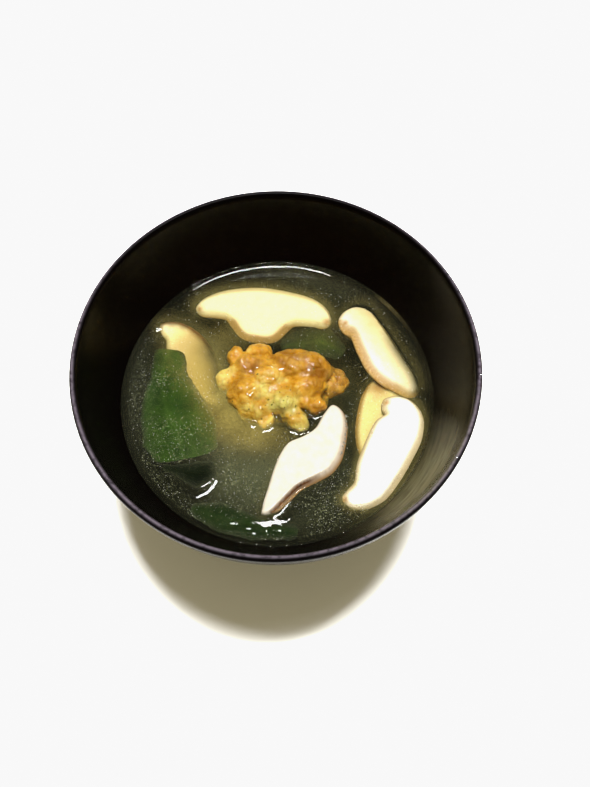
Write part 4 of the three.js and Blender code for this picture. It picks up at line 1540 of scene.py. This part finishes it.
class SOUP_OT_bubbles(bpy.types.Operator):
    """Strings tiny bubbles along the edges of the slices that reach the surface"""
    bl_idname = "soup.bubbles"
    bl_label = "Bubbles at the slices"

    def execute(self, context):
        item = SLICES["slice_front"]
        path = slice_outline(item, SLICE_SIDES)[slice(*BUBBLE_STRETCH)]
        source = line_object("bubble_source", path + [BUBBLE_SHIFT, 0.0, BUBBLE_LIFT - item["top"]])
        material = small_material("froth bubbles", linear(0xd8d8cc), 0.08, 1.0, 0.6)
        sizes = {label: size * MM for label, size in BUBBLES.items()}
        piece = grown("edge_bubbles", source, bubble_tree(), {**sizes, "Material": material})
        settled(piece)
        return {"FINISHED"}


# How many flecks lie on the batter, and their smallest and largest radius in mm.
FLECKS_PER_MM2 = 0.14
FLECK_RADII = (0.1, 0.3)


class SOUP_OT_flecks(bpy.types.Operator):
    """Lays chopped green herb on the batter"""
    bl_idname = "soup.flecks"
    bl_label = "Herb flecks"

    def execute(self, context):
        sizes = context.scene.soup_dumpling
        material = small_material("chopped green herb", tuple(sizes.fleck), 0.45, 0.4)
        small, large = FLECK_RADII
        piece = grown("herb_flecks", copy_of("fried_dumpling"), fleck_tree(), {
            "Density": FLECKS_PER_MM2 / MM ** 2, "Small": small * MM, "Large": large * MM,
            "Material": material})
        settled(piece)
        return {"FINISHED"}


class SOUP_OT_stage(bpy.types.Operator):
    """Adds the camera, the floor, the lamps and the room's light"""
    bl_idname = "soup.stage"
    bl_label = "Camera, floor and light"

    def execute(self, context):
        sizes = context.scene.soup_stage
        scene = context.scene
        add_camera(scene)
        floor = plain_floor(sizes)
        soft = add_lamp(scene, "soft_ceiling", SOFT_SIZE, SOFT_TILT, sizes.lamp)
        soft.visible_glossy = False
        add_lamp(scene, "glint_lamp", GLINT_SIZE, GLINT_TILT, sizes.glint)
        lit = bpy.data.collections.new("lit by the table lamps")
        lit.objects.link(floor)
        for number, tilt in enumerate(TABLE_TILTS, 1):
            table = add_lamp(scene, f"table_lamp_{number}", TABLE_SIZE, tilt, sizes.table / 2)
            table.visible_glossy = False
            table.light_linking.receiver_collection = lit
        world = bpy.data.worlds.new("room")
        scene.world = world
        world.use_nodes = True
        world.cycles_visibility.glossy = False
        background = world.node_tree.nodes["Background"]
        background.inputs[0].default_value = linear(0xfff0c4)
        background.inputs[1].default_value = sizes.ambient
        scene.view_settings.view_transform = "Standard"
        scene.view_settings.look = "None"
        scene.view_settings.use_curve_mapping = True
        curves = scene.view_settings.curve_mapping
        curves.extend = "HORIZONTAL"
        curves.curves[3].points[1].location = (1.0, sizes.white)
        curves.update()
        return {"FINISHED"}


# The photo's camera: its place in metres, how far it looks down, its turn and roll in degrees, and its
# focal length in pixels of the 590 x 787 picture.
CAMERA_PLACE = (0.0, -0.1303, 0.32297)
LOOK_DOWN = 65.25
TURN = 2.44
ROLL = 0.10
FOCAL_PIXELS = 1000
PICTURE_HEIGHT = 787
SENSOR = 36.0

# The lamps hang this high over the soup. Sizes are in metres, and tilts are the degrees from straight
# up towards the back and towards the right. The table's two lamps light only the table, which the
# photo shows far brighter than white paper, under a shadow with two steps.
LAMP_HEIGHT = 1.2
SOFT_SIZE, SOFT_TILT = (0.5, 0.5), (12, 3.2)
GLINT_SIZE, GLINT_TILT = (0.3, 0.13), (9, 2.5)
GLEAM_SIZE = (0.9, 0.4)
TABLE_SIZE, TABLE_TILTS = (0.15, 0.24), ((8.4, -4.8), (8.4, 12.4))


def add_lamp(scene, name, size, tilt, power):
    lamp = bpy.data.lights.new(name, "AREA")
    lamp.shape = "RECTANGLE"
    lamp.size, lamp.size_y = size
    lamp.energy = power
    holder = bpy.data.objects.new(name, lamp)
    back, right = (math.tan(math.radians(angle)) for angle in tilt)
    toward = Vector((right, back, 1)).normalized()
    holder.location = toward * LAMP_HEIGHT + Vector((0, 0, LEVEL * MM))
    holder.rotation_euler = toward.to_track_quat("Z", "Y").to_euler()
    scene.collection.objects.link(holder)
    return holder


def add_camera(scene):
    lens = bpy.data.cameras.new("camera")
    lens.sensor_width = SENSOR
    lens.lens = SENSOR * FOCAL_PIXELS / PICTURE_HEIGHT
    lens.clip_start = 0.01
    camera = bpy.data.objects.new("camera", lens)
    down, turn, roll = (math.radians(a) for a in (LOOK_DOWN, TURN, ROLL))
    ahead = Vector((math.sin(turn) * math.cos(down), math.cos(turn) * math.cos(down), -math.sin(down)))
    right = Vector((math.cos(turn), -math.sin(turn), 0))
    up = right.cross(ahead)
    right, up = (right * math.cos(roll) + up * math.sin(roll), up * math.cos(roll) - right * math.sin(roll))
    axes = Matrix((right, up, -ahead)).transposed()
    camera.matrix_world = Matrix.Translation(CAMERA_PLACE) @ axes.to_4x4()
    scene.collection.objects.link(camera)
    scene.camera = camera


# Half the floor's side, in mm.
FLOOR_HALF = 1500.0


def plain_floor(sizes):
    """A matt white table top."""
    material, tree, out, where = new_material("matt white laminate")
    tone = [c * 0.97 for c in sizes.floor[:3]] + [1.0]
    drift = blend(tree, noise_at(tree, where, 60.0), tuple(sizes.floor), tone)
    surfaced(tree, out, {"Base Color": drift, "Roughness": 0.7})
    corners = [(x * FLOOR_HALF, y * FLOOR_HALF, 0) for x, y in ((-1, -1), (1, -1), (1, 1), (-1, 1))]
    return make_piece("table_top", corners, [(0, 1, 2, 3)], material)


class SOUP_PT_panel(bpy.types.Panel):
    """Lists the soup's pieces"""
    bl_idname = "SOUP_PT_panel"
    bl_label = "Bowl of Dumpling Soup"
    bl_space_type = "VIEW_3D"
    bl_region_type = "UI"
    bl_category = "Soup"

    def draw(self, context):
        for operator in OPERATORS:
            self.layout.operator(operator.bl_idname)
        for label in GROUPS:
            group = getattr(context.scene, label)
            box = self.layout.box()
            for key in group.__annotations__:
                box.prop(group, key)


GROUPS = {
    "soup_bowl": BowlSettings, "soup_broth": BrothSettings, "soup_dumpling": DumplingSettings,
    "soup_mushroom": MushroomSettings, "soup_leaf": LeafSettings, "soup_stage": StageSettings,
}
OPERATORS = (
    SOUP_OT_stage, SOUP_OT_bowl, SOUP_OT_broth, SOUP_OT_dumpling, SOUP_OT_slices, SOUP_OT_leaves,
    SOUP_OT_specks, SOUP_OT_beads, SOUP_OT_bubbles, SOUP_OT_flecks,
)


def register():
    for group in GROUPS.values():
        bpy.utils.register_class(group)
    for operator in OPERATORS:
        bpy.utils.register_class(operator)
    bpy.utils.register_class(SOUP_PT_panel)
    for label, group in GROUPS.items():
        setattr(bpy.types.Scene, label, bpy.props.PointerProperty(type=group))


def unregister():
    for label in GROUPS:
        delattr(bpy.types.Scene, label)
    bpy.utils.unregister_class(SOUP_PT_panel)
    for operator in reversed(OPERATORS):
        bpy.utils.unregister_class(operator)
    for group in reversed(GROUPS.values()):
        bpy.utils.unregister_class(group)


def main():
    register()
    for operator in OPERATORS:
        group, action = operator.bl_idname.split(".")
        getattr(getattr(bpy.ops, group), action)()
    bpy.context.view_layer.update()


if __name__ == "__main__":
    main()
